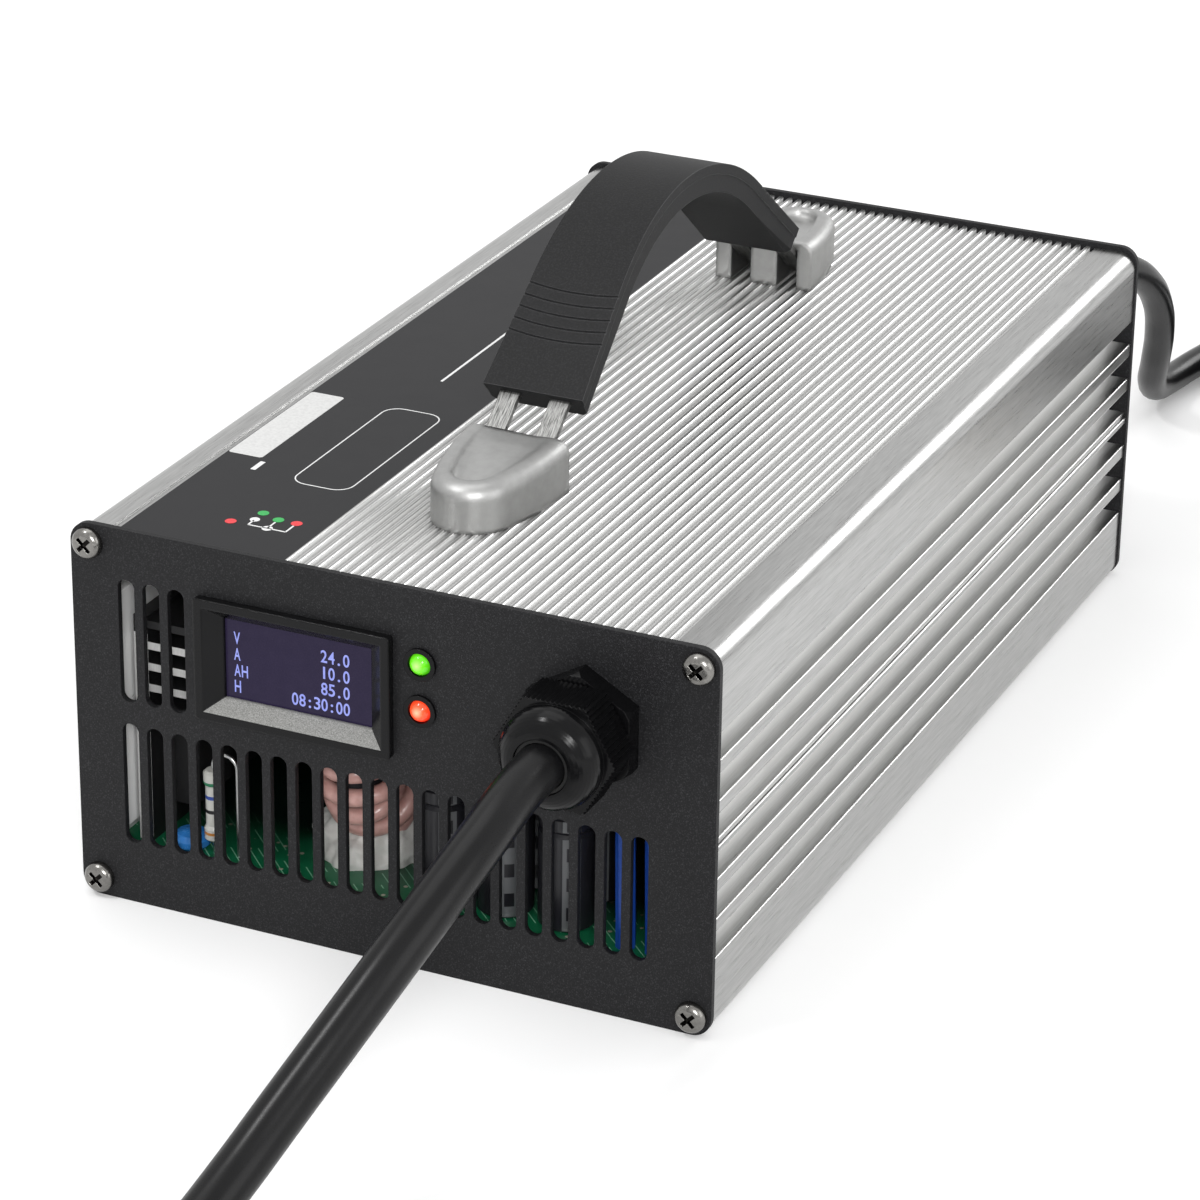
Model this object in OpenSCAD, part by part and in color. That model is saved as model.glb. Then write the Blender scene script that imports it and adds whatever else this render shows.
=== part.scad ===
// Fan-cooled battery charger: two aluminium extrusions, two end plates, a strap handle,
// a display, two status lamps, a cable gland at each end and the power board inside.
// Frame: X to the right seen from the front, Y towards the back, Z up, origin under the middle.

/* [Housing] */
// Length of the two aluminium extrusions
housing_l = 260; // [240:1:320]
// Width of the extrusions over their side bands
housing_w = 149.2; // [146:0.2:170]
// Height of the two extrusions, one on the other
housing_h = 87.4; // [82:0.2:100]
// Thickness of the extruded walls
wall_t = 2.2; // [1.8:0.1:2.6]
// Radius of the four long edges
edge_r = 4.3; // [3.8:0.1:5]
// Height of the plain band above and below the side fins
band_h = 17.8; // [16:0.1:20]
// Depth of the grooves between the side fins
fin_depth = 6.5; // [5:0.1:8]
// Thickness of a side fin
fin_t = 3.05; // [2:0.05:3.5]
// Thickness of each of the two lips that meet at the seam
lip_t = 1.25; // [0.9:0.05:1.6]
// How far the upper lip stands back from the lower one
lip_step = 0.5; // [0.2:0.1:1]
// Height of the tongue that locates the upper extrusion on the lower one
tongue_h = 1.6; // [1:0.1:2.4]

/* [Top face] */
// Distance from one rib to the next
rib_pitch = 2.5; // [2.2:0.1:3]
// Width of the groove between two ribs
rib_gap = 1.4; // [1.1:0.1:1.6]
// Depth of the groove between two ribs
rib_depth = 1.4; // [1:0.1:1.8]
// Chamfer along the top edges of a rib
rib_chamfer = 0.2; // [0.1:0.05:0.3]
// Plain margin between the ribs and the right side
rib_margin = 7.9; // [6.5:0.1:10]
// Width of the flat recess for the label film
label_w = 41; // [34:0.5:44]
// Plain margin between the label recess and the left side
label_margin = 8.1; // [6.5:0.1:10]
// Depth of the label recess
label_depth = 0.4; // [0.3:0.05:0.6]
// Thickness of the label film
film_t = 0.25; // [0.15:0.05:0.3]
// Strip of the recess that the film leaves bare on its left
film_inset = 1.5; // [0.5:0.1:2.5]

/* [End plates] */
// Thickness of the two end plates
plate_t = 1.5; // [1.2:0.1:2.5]
// How far a plate stands out past the extrusions at each side
plate_side = 0.4; // [0:0.1:0.8]
// How far a plate stands above the extrusions
plate_top = 1.2; // [0:0.1:1.6]
// Corner radius of the plates
plate_r = 4.5; // [3:0.1:6]
// Distance of a plate screw from both edges of the plate
screw_inset = 4.4; // [4.2:0.1:4.8]
// Diameter of a plate screw's head
screw_head_d = 7; // [6:0.1:7.6]
// Height of a plate screw's head
screw_head_h = 2.3; // [1.6:0.1:3]
// Diameter of a plate screw's shank
screw_d = 2.8; // [2.4:0.1:3]
// Length of a plate screw under its head
screw_l = 12; // [8:0.5:16]

/* [Front panel] */
// Width of a ventilation slot
slot_w = 4; // [3:0.1:4.6]
// Distance from one slot to the next
slot_pitch = 6; // [5.6:0.1:6]
// Number of slots in the lower row
slot_count = 21; // [10:1:21]
// Number of slots in the upper row
upper_slot_count = 3; // [1:1:3]
// Place of the first slot left of the middle
slot_x0 = -61.8; // [-62:0.1:-61]
// Lower end of the lower row
slot_z0 = 14.5; // [13:0.1:16]
// Height of a slot
slot_h = 28.8; // [24:0.1:29]
// Step from the lower row up to the upper row
slot_row_step = 33.9; // [33:0.1:36]
// Width of the display bezel
bezel_w = 46.3; // [44:0.1:47]
// Height of the display bezel
bezel_h = 28.1; // [26:0.1:28.4]
// How far the bezel stands out from the plate
bezel_proud = 2; // [1.4:0.1:3]
// Middle of the bezel, across the plate
bezel_x = -21.5; // [-22:0.1:-20.5]
// Distance of the bezel's middle below the top of the housing
bezel_drop = 24.2; // [22.4:0.1:24.8]
// Width of the flat rim round the bezel
bezel_rim = 2; // [1.4:0.1:2.4]
// Width of the display window
window_w = 35; // [32:0.1:36]
// Height of the display window
window_h = 18.6; // [16:0.1:19.4]
// Diameter of the two status lamps
lamp_d = 5; // [4:0.1:5.4]
// Place of the lamps across the plate
lamp_x = 8; // [7.8:0.1:10]
// Distance of the green lamp below the top of the housing
green_drop = 15.4; // [13.4:0.1:17.4]
// Distance of the red lamp below the top of the housing
red_drop = 26.1; // [24.4:0.1:28.4]

/* [Cable glands] */
// Distance of the output gland from the right side of the housing
dc_gland_inset = 29.1; // [26.6:0.1:30.6]
// Distance of the output gland below the top of the housing
dc_gland_drop = 21.4; // [20.4:0.1:23.4]
// Width across the flats of the output gland
dc_gland_af = 24; // [22:0.1:25]
// Diameter of the output cable
dc_d = 10.4; // [9.6:0.1:10.8]
// Distance of the mains gland from the right side of the housing
ac_gland_inset = 20.6; // [19.6:0.1:26.6]
// Distance of the mains gland below the top of the housing
ac_gland_drop = 19.4; // [18:0.1:26]
// Width across the flats of the mains gland
ac_gland_af = 20; // [18:0.1:21]
// Diameter of the mains cable
ac_d = 8; // [7.4:0.1:8.4]

/* [Handle] */
// Radius of the arched top face of the grip
grip_r = 62; // [56:0.5:70]
// Angle of the arch to each side of its crest
grip_angle = 39; // [34:0.5:42]
// Height of the crest above the housing
grip_rise = 50.5; // [48:0.5:58]
// Length of the straight end beyond the arch
grip_end_l = 28.8; // [26:0.1:30]
// Width of the grip at its ends
grip_w = 24; // [22:0.1:27]
// Width of the grip at its waist
grip_waist_w = 19.6; // [18:0.1:21.5]
// Thickness of the grip
grip_t = 6.6; // [6:0.1:8]
// Number of grooves across each end of the grip
grip_groove_count = 5; // [3:1:5]
// Width of a handle strap
strap_w = 4.6; // [4:0.1:4.9]
// Thickness of a handle strap
strap_t = 1.3; // [1:0.1:1.6]
// Place of the straps to each side of the middle
strap_x = 6; // [5.8:0.1:6.4]
// Width of an end cap
cap_w = 25; // [23.5:0.1:28]
// Length of an end cap
cap_l = 30.5; // [28:0.1:34]
// Height of an end cap at its inner face
cap_h = 12.1; // [11.5:0.1:14]
// Distance of the caps' inner faces from the middle of the housing
cap_y = 69; // [68.6:0.1:72]

/* [Fan] */
// Width of the fan frame
fan_w = 70; // [60:1:70]
// Depth of the fan frame
fan_t = 20; // [18:0.5:25]
// Distance between the fan's screws
fan_pitch = 60; // [50:1:61]
// Place of the fan across the back plate
fan_x = -22; // [-26:0.5:-16]
// Number of fan blades
blade_count = 7; // [5:1:9]
// Running gap between the fan's shaft and its bearing
shaft_gap = 0.03; // [0.02:0.01:0.05]

/* [Power board] */
// Height of the underside of the board
board_z = 9.4; // [8.8:0.1:10]
// Thickness of the board
board_t = 1.6; // [1.4:0.1:2]
// Distance of the board's front edge from the end of the housing
board_front = 4; // [3:0.5:8]
// Distance of the board's back edge from the fan
board_back = 6; // [4:0.5:12]
// Mean radius of the output choke's core
choke_r = 20; // [19.8:0.1:21]
// Radius of the core's round section
choke_core_r = 5; // [4.5:0.1:5.2]
// Number of turns on the choke
choke_turns = 26; // [20:2:26]
// Height of the heat sinks
sink_h = 54; // [52:0.5:58]

/* [Hidden] */

$fn = 64;
slip = 0.15;            // clearance of a piece that slides into its seat
eps = 0.01;             // overlap that joins two shapes of one solid
far = 400;              // longer than any cut

// Housing
half_l = housing_l / 2;
half_w = housing_w / 2;
seam_z = housing_h / 2;
seam_gap = 0.2;
groove_x = half_w - fin_depth;
side_in = groove_x - wall_t;
band_in = half_w - wall_t;
top_in = housing_h - rib_depth - wall_t;
groove_h = (seam_z - band_h - 2 * fin_t - lip_t - seam_gap / 2) / 3;
label_x0 = -half_w + label_margin;
label_x1 = label_x0 + label_w;
rib_x1 = half_w - rib_margin;
rib_count = floor((rib_x1 - label_x1) / rib_pitch);
port_r = 3;
port_bore_r = screw_d / 2 + 0.1;
rail_t = 1.6;
rail_l = 3;

// End plates
plate_w = housing_w + 2 * plate_side;
plate_h = housing_h + plate_top;
front_face = -half_l - plate_t;
back_face = half_l + plate_t;
port_x = plate_w / 2 - screw_inset;
port_zs = [screw_inset, plate_h - screw_inset];
plate_hole_d = screw_d + 0.5;
lamp_hole_d = lamp_d + 1.4;
bezel_z = housing_h - bezel_drop;
green_z = housing_h - green_drop;
red_z = housing_h - red_drop;

// Handle
arch_z = housing_h + grip_rise - grip_r;
strap_depth = 2.6;
strap_mid_r = grip_r - strap_depth;
cap_screw_d = 3.8;
cap_screw_ys = [cap_y + 7, cap_y + 21];
cap_bore_h = 6;

// Fan
fan_z = (wall_t + top_in) / 2;
fan_bore_d = fan_w - 4;
fan_y0 = half_l - fan_t;
hub_r = 15;
hub_wall = 1.4;
shaft_r = 1.5;
fan_screw_d = 4;
guard_wire_r = 0.8;

// Board
board_top = board_z + board_t;
board_w = 2 * (band_in - 0.3);
board_y0 = -half_l + board_front;
board_y1 = fan_y0 - board_back;

// Gland seats
dc_gland_x = half_w - dc_gland_inset;
dc_gland_z = housing_h - dc_gland_drop;
ac_gland_x = half_w - ac_gland_inset;
ac_gland_z = housing_h - ac_gland_drop;
dc_seat = [dc_gland_x, front_face, dc_gland_z];
ac_seat = [ac_gland_x, back_face, ac_gland_z];
gland_mouth = 21.5;     // distance of a gland's mouth from its plate
mouth_depth = 3;        // how deep the seal sits inside the mouth

// Coils, with radii in cord diameters: a cord winds inwards by a little over its own width in each turn
coil_mid = 5.3;         // middle radius of a coil's widest layer
coil_out = 6.8;         // outer radius of a coil
coil_floor = 1.3;       // height of a coil's underside, which leaves room for its tie
seat_gap = 0.3;         // how far the connector lies above its coil
connector_t = 16;
dc_tail_r = 4.1 * dc_d; // radius of the output cable's last half turn, which climbs onto the coil
dc_ring_r = 4.62 * dc_d;
dc_low = coil_floor + dc_d / 2;
dc_high = coil_floor + dc_d + seat_gap + connector_t / 2;

// Cord routes: the middle of each cord, from its gland to its coil and from its coil to its end
dc_route = [
    [45.5, -150, 66], [45.5, -157, 66], [45.5, -167, 64.9], [45.3, -178, 62.2], [43.7, -192, 56.8],
    [40.7, -206, 49.1], [36.1, -220, 38.9], [30.9, -234, 27.8], [26.7, -248, 18.2], [23.7, -262, 11.4],
    [22, -276, 7.8], [21.4, -290, 6.6], [21.4, -302, 6.5], [21.4, -314, 6.5]
];
dc_coil_at = [86.9, -314];
tail_steps = 10;
dc_tail_route = concat(
    [for (i = [0:tail_steps])
        let (a = 180 + 180 * i / tail_steps, up = i / tail_steps)
        [dc_coil_at[0] + dc_tail_r * cos(a), dc_coil_at[1] + dc_tail_r * sin(a),
            dc_low + (dc_high - dc_low) * up * up * (3 - 2 * up)]],
    [[dc_coil_at[0] + dc_tail_r, dc_coil_at[1] + 10, dc_high]]
);
ac_route = [
    [54, 150, 68], [54, 157, 68], [55.2, 167, 67.4], [57.6, 178, 64.6], [59.6, 189, 58.2],
    [59.8, 200, 48.2], [57.8, 210, 36.4], [54.2, 220, 24], [50.6, 230, 14.2], [48.6, 241, 8],
    [48.8, 254, 5.7], [50.6, 267, 5.3], [52.9, 278, 5.3], [54.5, 289, 5.3]
];
ac_coil_at = [104.9, 289];
ac_tail_route = [
    [148.5, 289, 13.3], [148.4, 273, 13.3], [147, 257, 12.8], [145.6, 246, 12.4], [145.6, 241, 12.4]
];
tie_t = 0.8;
tie_w = 14;
tie_room = 0.5;
tie_climb = 1.2;        // how far the output cable's last half turn rises under its tie

// Shapes that several pieces share

// Turns a flat drawing in X and Z into a solid from y0 over the length l towards the back
module along_y(y0, l) {
    translate([0, y0 + l, 0]) rotate([90, 0, 0]) linear_extrude(l) children();
}

module rounded_square(w, h, r) {
    translate([-w / 2 + r, 0]) square([w - 2 * r, h]);
    translate([-w / 2, r]) square([w, h - 2 * r]);
    for (x = [-w / 2 + r, w / 2 - r], z = [r, h - r]) translate([x, z]) circle(r);
}

module upright_slot(w, h) {
    translate([-w / 2, w / 2]) square([w, h - w]);
    for (z = [w / 2, h - w / 2]) translate([0, z]) circle(d = w);
}

// Points on an arc about c, from angle a0 to a1 in n steps
function arc_points(c, r, a0, a1, n) =
    [for (i = [0:n]) let (a = a0 + (a1 - a0) * i / n) [c[0] + r * cos(a), c[1] + r * sin(a)]];

function unit(v) = v / norm(v);

// Faces of a tube made of n rings with s corners each, closed at both ends
function tube_faces(n, s) = concat(
    [[for (i = [s - 1:-1:0]) i]],
    [for (k = [0:n - 2], i = [0:s - 1]) let (j = (i + 1) % s) [k * s + i, k * s + s + j, k * s + s + i]],
    [for (k = [0:n - 2], i = [0:s - 1]) let (j = (i + 1) % s) [k * s + i, k * s + j, k * s + s + j]],
    [[for (i = [0:s - 1]) (n - 1) * s + i]]
);

// Sweeps a round section with s corners along the points of a route
module swept_tube(route, d, s = 10) {
    last = len(route) - 1;
    points = [
        for (k = [0:last])
            let (
                ahead = unit(route[min(k + 1, last)] - route[max(k - 1, 0)]),
                side = unit(cross(ahead, abs(ahead[2]) > 0.9 ? [0, 1, 0] : [0, 0, 1])),
                up = cross(side, ahead)
            )
            for (i = [0:s - 1]) route[k] + d / 2 * (cos(360 * i / s) * side + sin(360 * i / s) * up)
    ];
    polyhedron(points, tube_faces(last + 1, s));
}

// Screw that stands on the plane y = 0 with its domed head towards -Y and its shank towards +Y
module pan_screw(head_d, head_h, shank_d, shank_l) {
    shoulder_r = head_h * 0.75;
    recess_w = head_d * 0.13;
    recess_l = head_d * 0.56;
    recess_floor = head_h * 0.35;
    rotate([90, 0, 0]) difference() {
        union() {
            rotate_extrude() polygon(concat(
                [[0, 0], [head_d / 2, 0]],
                arc_points([head_d / 2 - shoulder_r, head_h - shoulder_r], shoulder_r, 0, 90, 8),
                [[0, head_h]]
            ));
            translate([0, 0, -shank_l]) cylinder(d = shank_d, h = shank_l + eps);
        }
        for (a = [45, 135]) rotate(a)
            translate([-recess_l / 2, -recess_w / 2, recess_floor]) cube([recess_l, recess_w, head_h]);
    }
}

// Housing

module side_grooves() {
    for (s = [-1, 1], i = [0:2], up = [0, 1]) {
        z = band_h + i * (groove_h + fin_t);
        translate([s > 0 ? groove_x : -groove_x - fin_depth - 1, up == 0 ? z : housing_h - z - groove_h])
            square([fin_depth + 1, groove_h]);
    }
}

module rib_grooves() {
    for (i = [0:rib_count - 1]) translate([label_x1 + (i + 0.5) * rib_pitch, housing_h]) polygon([
        [-rib_gap / 2 - rib_chamfer, eps], [-rib_gap / 2, -rib_chamfer], [-rib_gap / 2, -rib_depth],
        [rib_gap / 2, -rib_depth], [rib_gap / 2, -rib_chamfer], [rib_gap / 2 + rib_chamfer, eps]
    ]);
}

module inner_space() {
    translate([-side_in, wall_t]) square([2 * side_in, top_in - wall_t]);
    translate([-band_in, wall_t]) square([2 * band_in, band_h - 2 * wall_t]);
    translate([-band_in, housing_h - band_h + wall_t])
        square([2 * band_in, top_in - housing_h + band_h - wall_t]);
}

module board_rails() {
    for (s = [-1, 1], z = [board_z - slip - rail_t, board_top + slip])
        translate([s > 0 ? band_in - rail_l : -band_in - wall_t / 2, z])
            square([rail_l + wall_t / 2, rail_t]);
}

module housing_profile() {
    difference() {
        union() {
            difference() {
                rounded_square(housing_w, housing_h, edge_r);
                side_grooves();
                inner_space();
            }
            for (s = [-1, 1], z = port_zs) translate([s * port_x, z]) circle(port_r);
            board_rails();
        }
        rib_grooves();
        translate([label_x0, housing_h - label_depth]) square([label_w, label_depth + 1]);
        for (s = [-1, 1], z = port_zs) translate([s * port_x, z]) circle(port_bore_r);
    }
}

module tongues(grow) {
    for (s = [-1, 1]) translate([s > 0 ? side_in - grow : -side_in - wall_t / 2 - grow, seam_z - seam_gap])
        square([wall_t / 2 + 2 * grow, tongue_h + seam_gap + grow]);
}

module cap_screw_places() {
    for (s = [-1, 1], y = cap_screw_ys) translate([0, s * y, 0]) children();
}

module upper_shell() {
    color("silver") difference() {
        along_y(-half_l, housing_l) difference() {
            intersection() {
                housing_profile();
                translate([-half_w, seam_z + seam_gap / 2]) square([housing_w, housing_h]);
            }
            tongues(slip);
            for (s = [-1, 1]) translate([s > 0 ? half_w - lip_step : -half_w - 1, seam_z])
                square([lip_step + 1, lip_t + seam_gap / 2 + eps]);
        }
        cap_screw_places() translate([0, 0, top_in - 1]) cylinder(d = cap_screw_d + 0.4, h = far);
    }
}

module lower_shell() {
    color("silver") along_y(-half_l, housing_l) {
        intersection() {
            housing_profile();
            translate([-half_w, 0]) square([housing_w, seam_z - seam_gap / 2]);
        }
        tongues(0);
    }
}

module label_film() {
    color("#1d1d1f") along_y(-half_l, housing_l)
        translate([label_x0 + film_inset, housing_h - label_depth]) square([label_w - film_inset, film_t]);
}

// End plates

module plate_outline() {
    difference() {
        rounded_square(plate_w, plate_h, plate_r);
        for (s = [-1, 1], z = port_zs) translate([s * port_x, z]) circle(d = plate_hole_d);
    }
}

module vent_slots() {
    for (i = [0:slot_count - 1]) translate([slot_x0 + i * slot_pitch, slot_z0]) upright_slot(slot_w, slot_h);
    for (i = [0:upper_slot_count - 1])
        translate([slot_x0 + i * slot_pitch, slot_z0 + slot_row_step]) upright_slot(slot_w, slot_h);
}

module front_plate() {
    color("#2f2f31") along_y(front_face, plate_t) difference() {
        plate_outline();
        vent_slots();
        translate([bezel_x - bezel_neck_w / 2, bezel_z - bezel_neck_h / 2])
            square([bezel_neck_w, bezel_neck_h]);
        for (z = [green_z, red_z]) translate([lamp_x, z]) circle(d = lamp_hole_d);
        translate([dc_gland_x, dc_gland_z]) circle(d = thread_d(dc_gland_af) + 2 * slip);
    }
}

module back_plate() {
    color("#2f2f31") along_y(half_l, plate_t) difference() {
        plate_outline();
        translate([fan_x, fan_z]) circle(d = fan_bore_d);
        for (x = [-1, 1], z = [-1, 1]) translate([fan_x + x * fan_pitch / 2, fan_z + z * fan_pitch / 2])
            circle(d = fan_screw_d + 0.4);
        translate([ac_gland_x, ac_gland_z]) circle(d = thread_d(ac_gland_af) + 2 * slip);
    }
}

module plate_screws() {
    for (s = [-1, 1], z = port_zs) translate([s * port_x, front_face, z])
        pan_screw(screw_head_d, screw_head_h, screw_d, screw_l);
}

module front_plate_screws() {
    color("#b9b6ae") plate_screws();
}

module back_plate_screws() {
    color("#b9b6ae") mirror([0, 1, 0]) plate_screws();
}

// Display and lamps

bezel_neck_w = bezel_w - 2 * bezel_rim;
bezel_neck_h = bezel_h - 2 * bezel_rim;
bezel_neck_l = 6;       // depth of the bezel's neck behind the plate's front face
bezel_r = 0.8;          // corner radius of the bezel
window_depth = 3.2;     // depth of the funnel's end below the bezel's front
window_lip = 0.8;       // thickness of the lip that the glass lies behind
glass_t = 1.4;
glass_w = window_w + 2;
glass_h = window_h + 1.6;
glass_y = front_face + window_depth - bezel_proud + window_lip;

// Sloped funnel from the bezel's rim down to the window, along +Y from the bezel's front
module window_funnel() {
    big = [bezel_w / 2 - bezel_rim, bezel_h / 2 - bezel_rim];
    small = [window_w / 2, window_h / 2];
    ahead = big + (big - small) / window_depth;
    corners = [[-1, -1], [1, -1], [1, 1], [-1, 1]];
    points = concat(
        [for (c = corners) [c[0] * ahead[0], -1, c[1] * ahead[1]]],
        [for (c = corners) [c[0] * small[0], window_depth, c[1] * small[1]]]
    );
    polyhedron(points, tube_faces(2, 4));
}

module display_bezel() {
    color("#1b1b1c") translate([bezel_x, front_face, bezel_z]) difference() {
        union() {
            along_y(-bezel_proud, bezel_proud) translate([0, -bezel_h / 2])
                rounded_square(bezel_w, bezel_h, bezel_r);
            along_y(-eps, bezel_neck_l) translate([-bezel_neck_w / 2 + slip, -bezel_neck_h / 2 + slip])
                square([bezel_neck_w - 2 * slip, bezel_neck_h - 2 * slip]);
        }
        translate([0, -bezel_proud, 0]) window_funnel();
        translate([-window_w / 2, -bezel_proud, -window_h / 2]) cube([window_w, far, window_h]);
        translate([-glass_w / 2, window_depth - bezel_proud + window_lip, -glass_h / 2])
            cube([glass_w, far, glass_h]);
    }
}

// Plate that fits the bezel's seat behind the window
module window_plate(y0, t) {
    translate([bezel_x, y0, bezel_z]) along_y(0, t) translate([-glass_w / 2 + slip, -glass_h / 2 + slip])
        square([glass_w - 2 * slip, glass_h - 2 * slip]);
}

module display_glass() {
    color("#201a45") window_plate(glass_y, glass_t);
}

module display_board() {
    color("#1f5a3a") window_plate(glass_y + glass_t, board_t);
}

holder_l = 7;           // depth of a lamp holder behind the plate's front face
holder_lip_w = 0.45;
holder_lip_t = 0.7;
lamp_flange_w = 0.35;
lamp_flange_t = 1;
lamp_sink = 0.6;        // how far the middle of a lamp's dome lies behind the plate's front face

// Domed lamp whose flange sits behind its holder
module lamp() {
    flange_r = lamp_d / 2 + lamp_flange_w;
    rotate([90, 0, 0]) rotate_extrude() polygon(concat(
        [[0, -holder_l - lamp_flange_t], [flange_r, -holder_l - lamp_flange_t], [flange_r, -holder_l]],
        [[lamp_d / 2, -holder_l]],
        arc_points([0, -lamp_sink], lamp_d / 2, 0, 90, 10)
    ));
}

module lamp_holder() {
    rotate([90, 0, 0]) difference() {
        union() {
            cylinder(d = lamp_hole_d + 2 * holder_lip_w, h = holder_lip_t);
            translate([0, 0, -holder_l]) cylinder(d = lamp_hole_d - 0.2, h = holder_l + eps);
        }
        translate([0, 0, -far / 2]) cylinder(d = lamp_d + 0.2, h = far);
    }
}

module lamp_green() {
    color("#49e31d") translate([lamp_x, front_face, green_z]) lamp();
}

module lamp_red() {
    color("#ff4a26") translate([lamp_x, front_face, red_z]) lamp();
}

module lamp_holders() {
    color("#151515") for (z = [green_z, red_z]) translate([lamp_x, front_face, z]) lamp_holder();
}

// Cable glands: each stands on the plane y = 0 with its mouth towards -Y

flange_t = 5;
nut_l = 10;
nut_ridges = 13;
locknut_t = 5;
locknut_gap = 0.05;
thread_tail = 9;

function thread_d(af) = af * 0.82;

// Six-sided outline with fine ridges along each flat
module ridged_hexagon(af) {
    flat = af / sqrt(3);
    step = flat / nut_ridges;
    polygon([
        for (side = [0:5], i = [0:nut_ridges - 1], k = [0, 1])
            let (
                along = -flat / 2 + (i + 0.25 + 0.5 * k) * step,
                out = af / 2 - (k == 0 ? 0 : 0.45),
                a = 60 * side
            )
            [out * cos(a) - along * sin(a), out * sin(a) + along * cos(a)]
    ]);
}

module gland_body(af, cable_d) {
    rotate([90, 0, 0]) difference() {
        union() {
            intersection() {
                rotate(30) cylinder(d = af / cos(30), h = flange_t, $fn = 6);
                cylinder(r1 = af * 0.62, r2 = af * 0.55, h = flange_t);
            }
            cylinder(d = thread_d(af), h = flange_t + nut_l - 1);
            translate([0, 0, -plate_t - thread_tail])
                cylinder(d = thread_d(af), h = plate_t + thread_tail + eps);
        }
        translate([0, 0, -far / 2]) cylinder(d = cable_d + 1.6, h = far);
    }
}

module gland_nut(af, cable_d) {
    dome_r = af * 0.47;
    dome_l = gland_mouth - flange_t - nut_l - 0.4;
    mouth_r = cable_d / 2 + 0.9;
    translate([0, -flange_t - 0.4, 0]) rotate([90, 0, 0]) difference() {
        union() {
            rotate(30) linear_extrude(nut_l) ridged_hexagon(af);
            translate([0, 0, nut_l - eps]) rotate_extrude() polygon(concat(
                [[0, 0], [dome_r, 0], [dome_r, 0.8]],
                arc_points([dome_r - dome_l + 0.8, 0.8], dome_l - 0.8, 8, 82, 8),
                [[dome_r - dome_l + 0.8, dome_l], [0, dome_l]]
            ));
        }
        translate([0, 0, -1]) cylinder(d = thread_d(af) + 2 * slip, h = nut_l);
        translate([0, 0, -1]) cylinder(r = mouth_r, h = far);
    }
}

module gland_seal(cable_d) {
    seal_y = flange_t + 2;
    seal_l = gland_mouth - seal_y - 0.4;
    rotate([90, 0, 0]) translate([0, 0, seal_y]) difference() {
        cylinder(r = cable_d / 2 + 0.75, h = seal_l);
        translate([0, 0, gland_mouth - seal_y - mouth_depth]) cylinder(r = cable_d / 2 + 0.1, h = far);
    }
}

module gland_locknut(af) {
    translate([0, plate_t + locknut_t + locknut_gap, 0]) rotate([90, 0, 0]) difference() {
        rotate(30) cylinder(d = af / cos(30) + 1, h = locknut_t, $fn = 6);
        translate([0, 0, -1]) cylinder(d = thread_d(af) + 2 * slip, h = locknut_t + 2);
    }
}

module at_dc_gland() {
    translate(dc_seat) children();
}

module at_ac_gland() {
    translate(ac_seat) mirror([0, 1, 0]) children();
}

module dc_gland_body() {
    color("#161616") at_dc_gland() gland_body(dc_gland_af, dc_d);
}

module dc_gland_nut() {
    color("#121212") at_dc_gland() gland_nut(dc_gland_af, dc_d);
}

module dc_gland_seal() {
    color("#1c1c1c") at_dc_gland() gland_seal(dc_d);
}

module dc_gland_locknut() {
    color("#161616") at_dc_gland() gland_locknut(dc_gland_af);
}

module ac_gland_body() {
    color("#161616") at_ac_gland() gland_body(ac_gland_af, ac_d);
}

module ac_gland_nut() {
    color("#121212") at_ac_gland() gland_nut(ac_gland_af, ac_d);
}

module ac_gland_seal() {
    color("#1c1c1c") at_ac_gland() gland_seal(ac_d);
}

module ac_gland_locknut() {
    color("#161616") at_ac_gland() gland_locknut(ac_gland_af);
}

// Handle

// Arch of the handle: an arc about the X axis with a straight end of length l at each side.
// The section is drawn with its radius along the first axis and its place along X as the second.
module arch(l) {
    translate([0, 0, arch_z]) rotate([0, 90, 0]) {
        rotate(180 - grip_angle) rotate_extrude(angle = 2 * grip_angle) children();
        rotate(180 + grip_angle) rotate([90, 0, 0]) translate([0, 0, -l]) linear_extrude(l) children();
        rotate(180 - grip_angle) rotate([90, 0, 0]) linear_extrude(l) children();
    }
}

// Everything between the two long shallow curves that draw the grip in to its waist
module waisted(inset) {
    reach = grip_r * sin(grip_angle) + grip_end_l * cos(grip_angle);
    sag = (grip_w - grip_waist_w) / 2;
    bow_r = (reach * reach + sag * sag) / (2 * sag);
    difference() {
        translate([-grip_w / 2 + inset, -far / 2, 0]) cube([grip_w - 2 * inset, far, far]);
        for (s = [-1, 1]) translate([s * (grip_waist_w / 2 - inset + bow_r), 0, -1])
            cylinder(r = bow_r, h = far + 2, $fn = 256);
    }
}

module grip_section(depth0, depth1, foot) {
    polygon([
        [grip_r - depth0, -grip_w / 2], [grip_r - depth0, grip_w / 2],
        [grip_r - depth1 + foot, grip_w / 2], [grip_r - depth1, grip_w / 2 - foot],
        [grip_r - depth1, -grip_w / 2 + foot], [grip_r - depth1 + foot, -grip_w / 2]
    ]);
}

// Bowed grooves across the straight ends, as rings that lie in the top face
module grip_grooves() {
    bow = 60;
    groove_pitch = 3.1;
    first = 3.2;
    half_w = 0.45;
    depth = 0.5;
    above = 0.05;
    for (s = [-1, 1], i = [0:grip_groove_count - 1])
        translate([0, 0, arch_z]) rotate([s * grip_angle, 0, 0])
            translate([0, -s * (first + i * groove_pitch - bow), grip_r]) rotate(-90 * s - 15)
                rotate_extrude(angle = 30, $fn = 128)
                    polygon([[bow - half_w, above], [bow, -depth], [bow + half_w, above]]);
}

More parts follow.
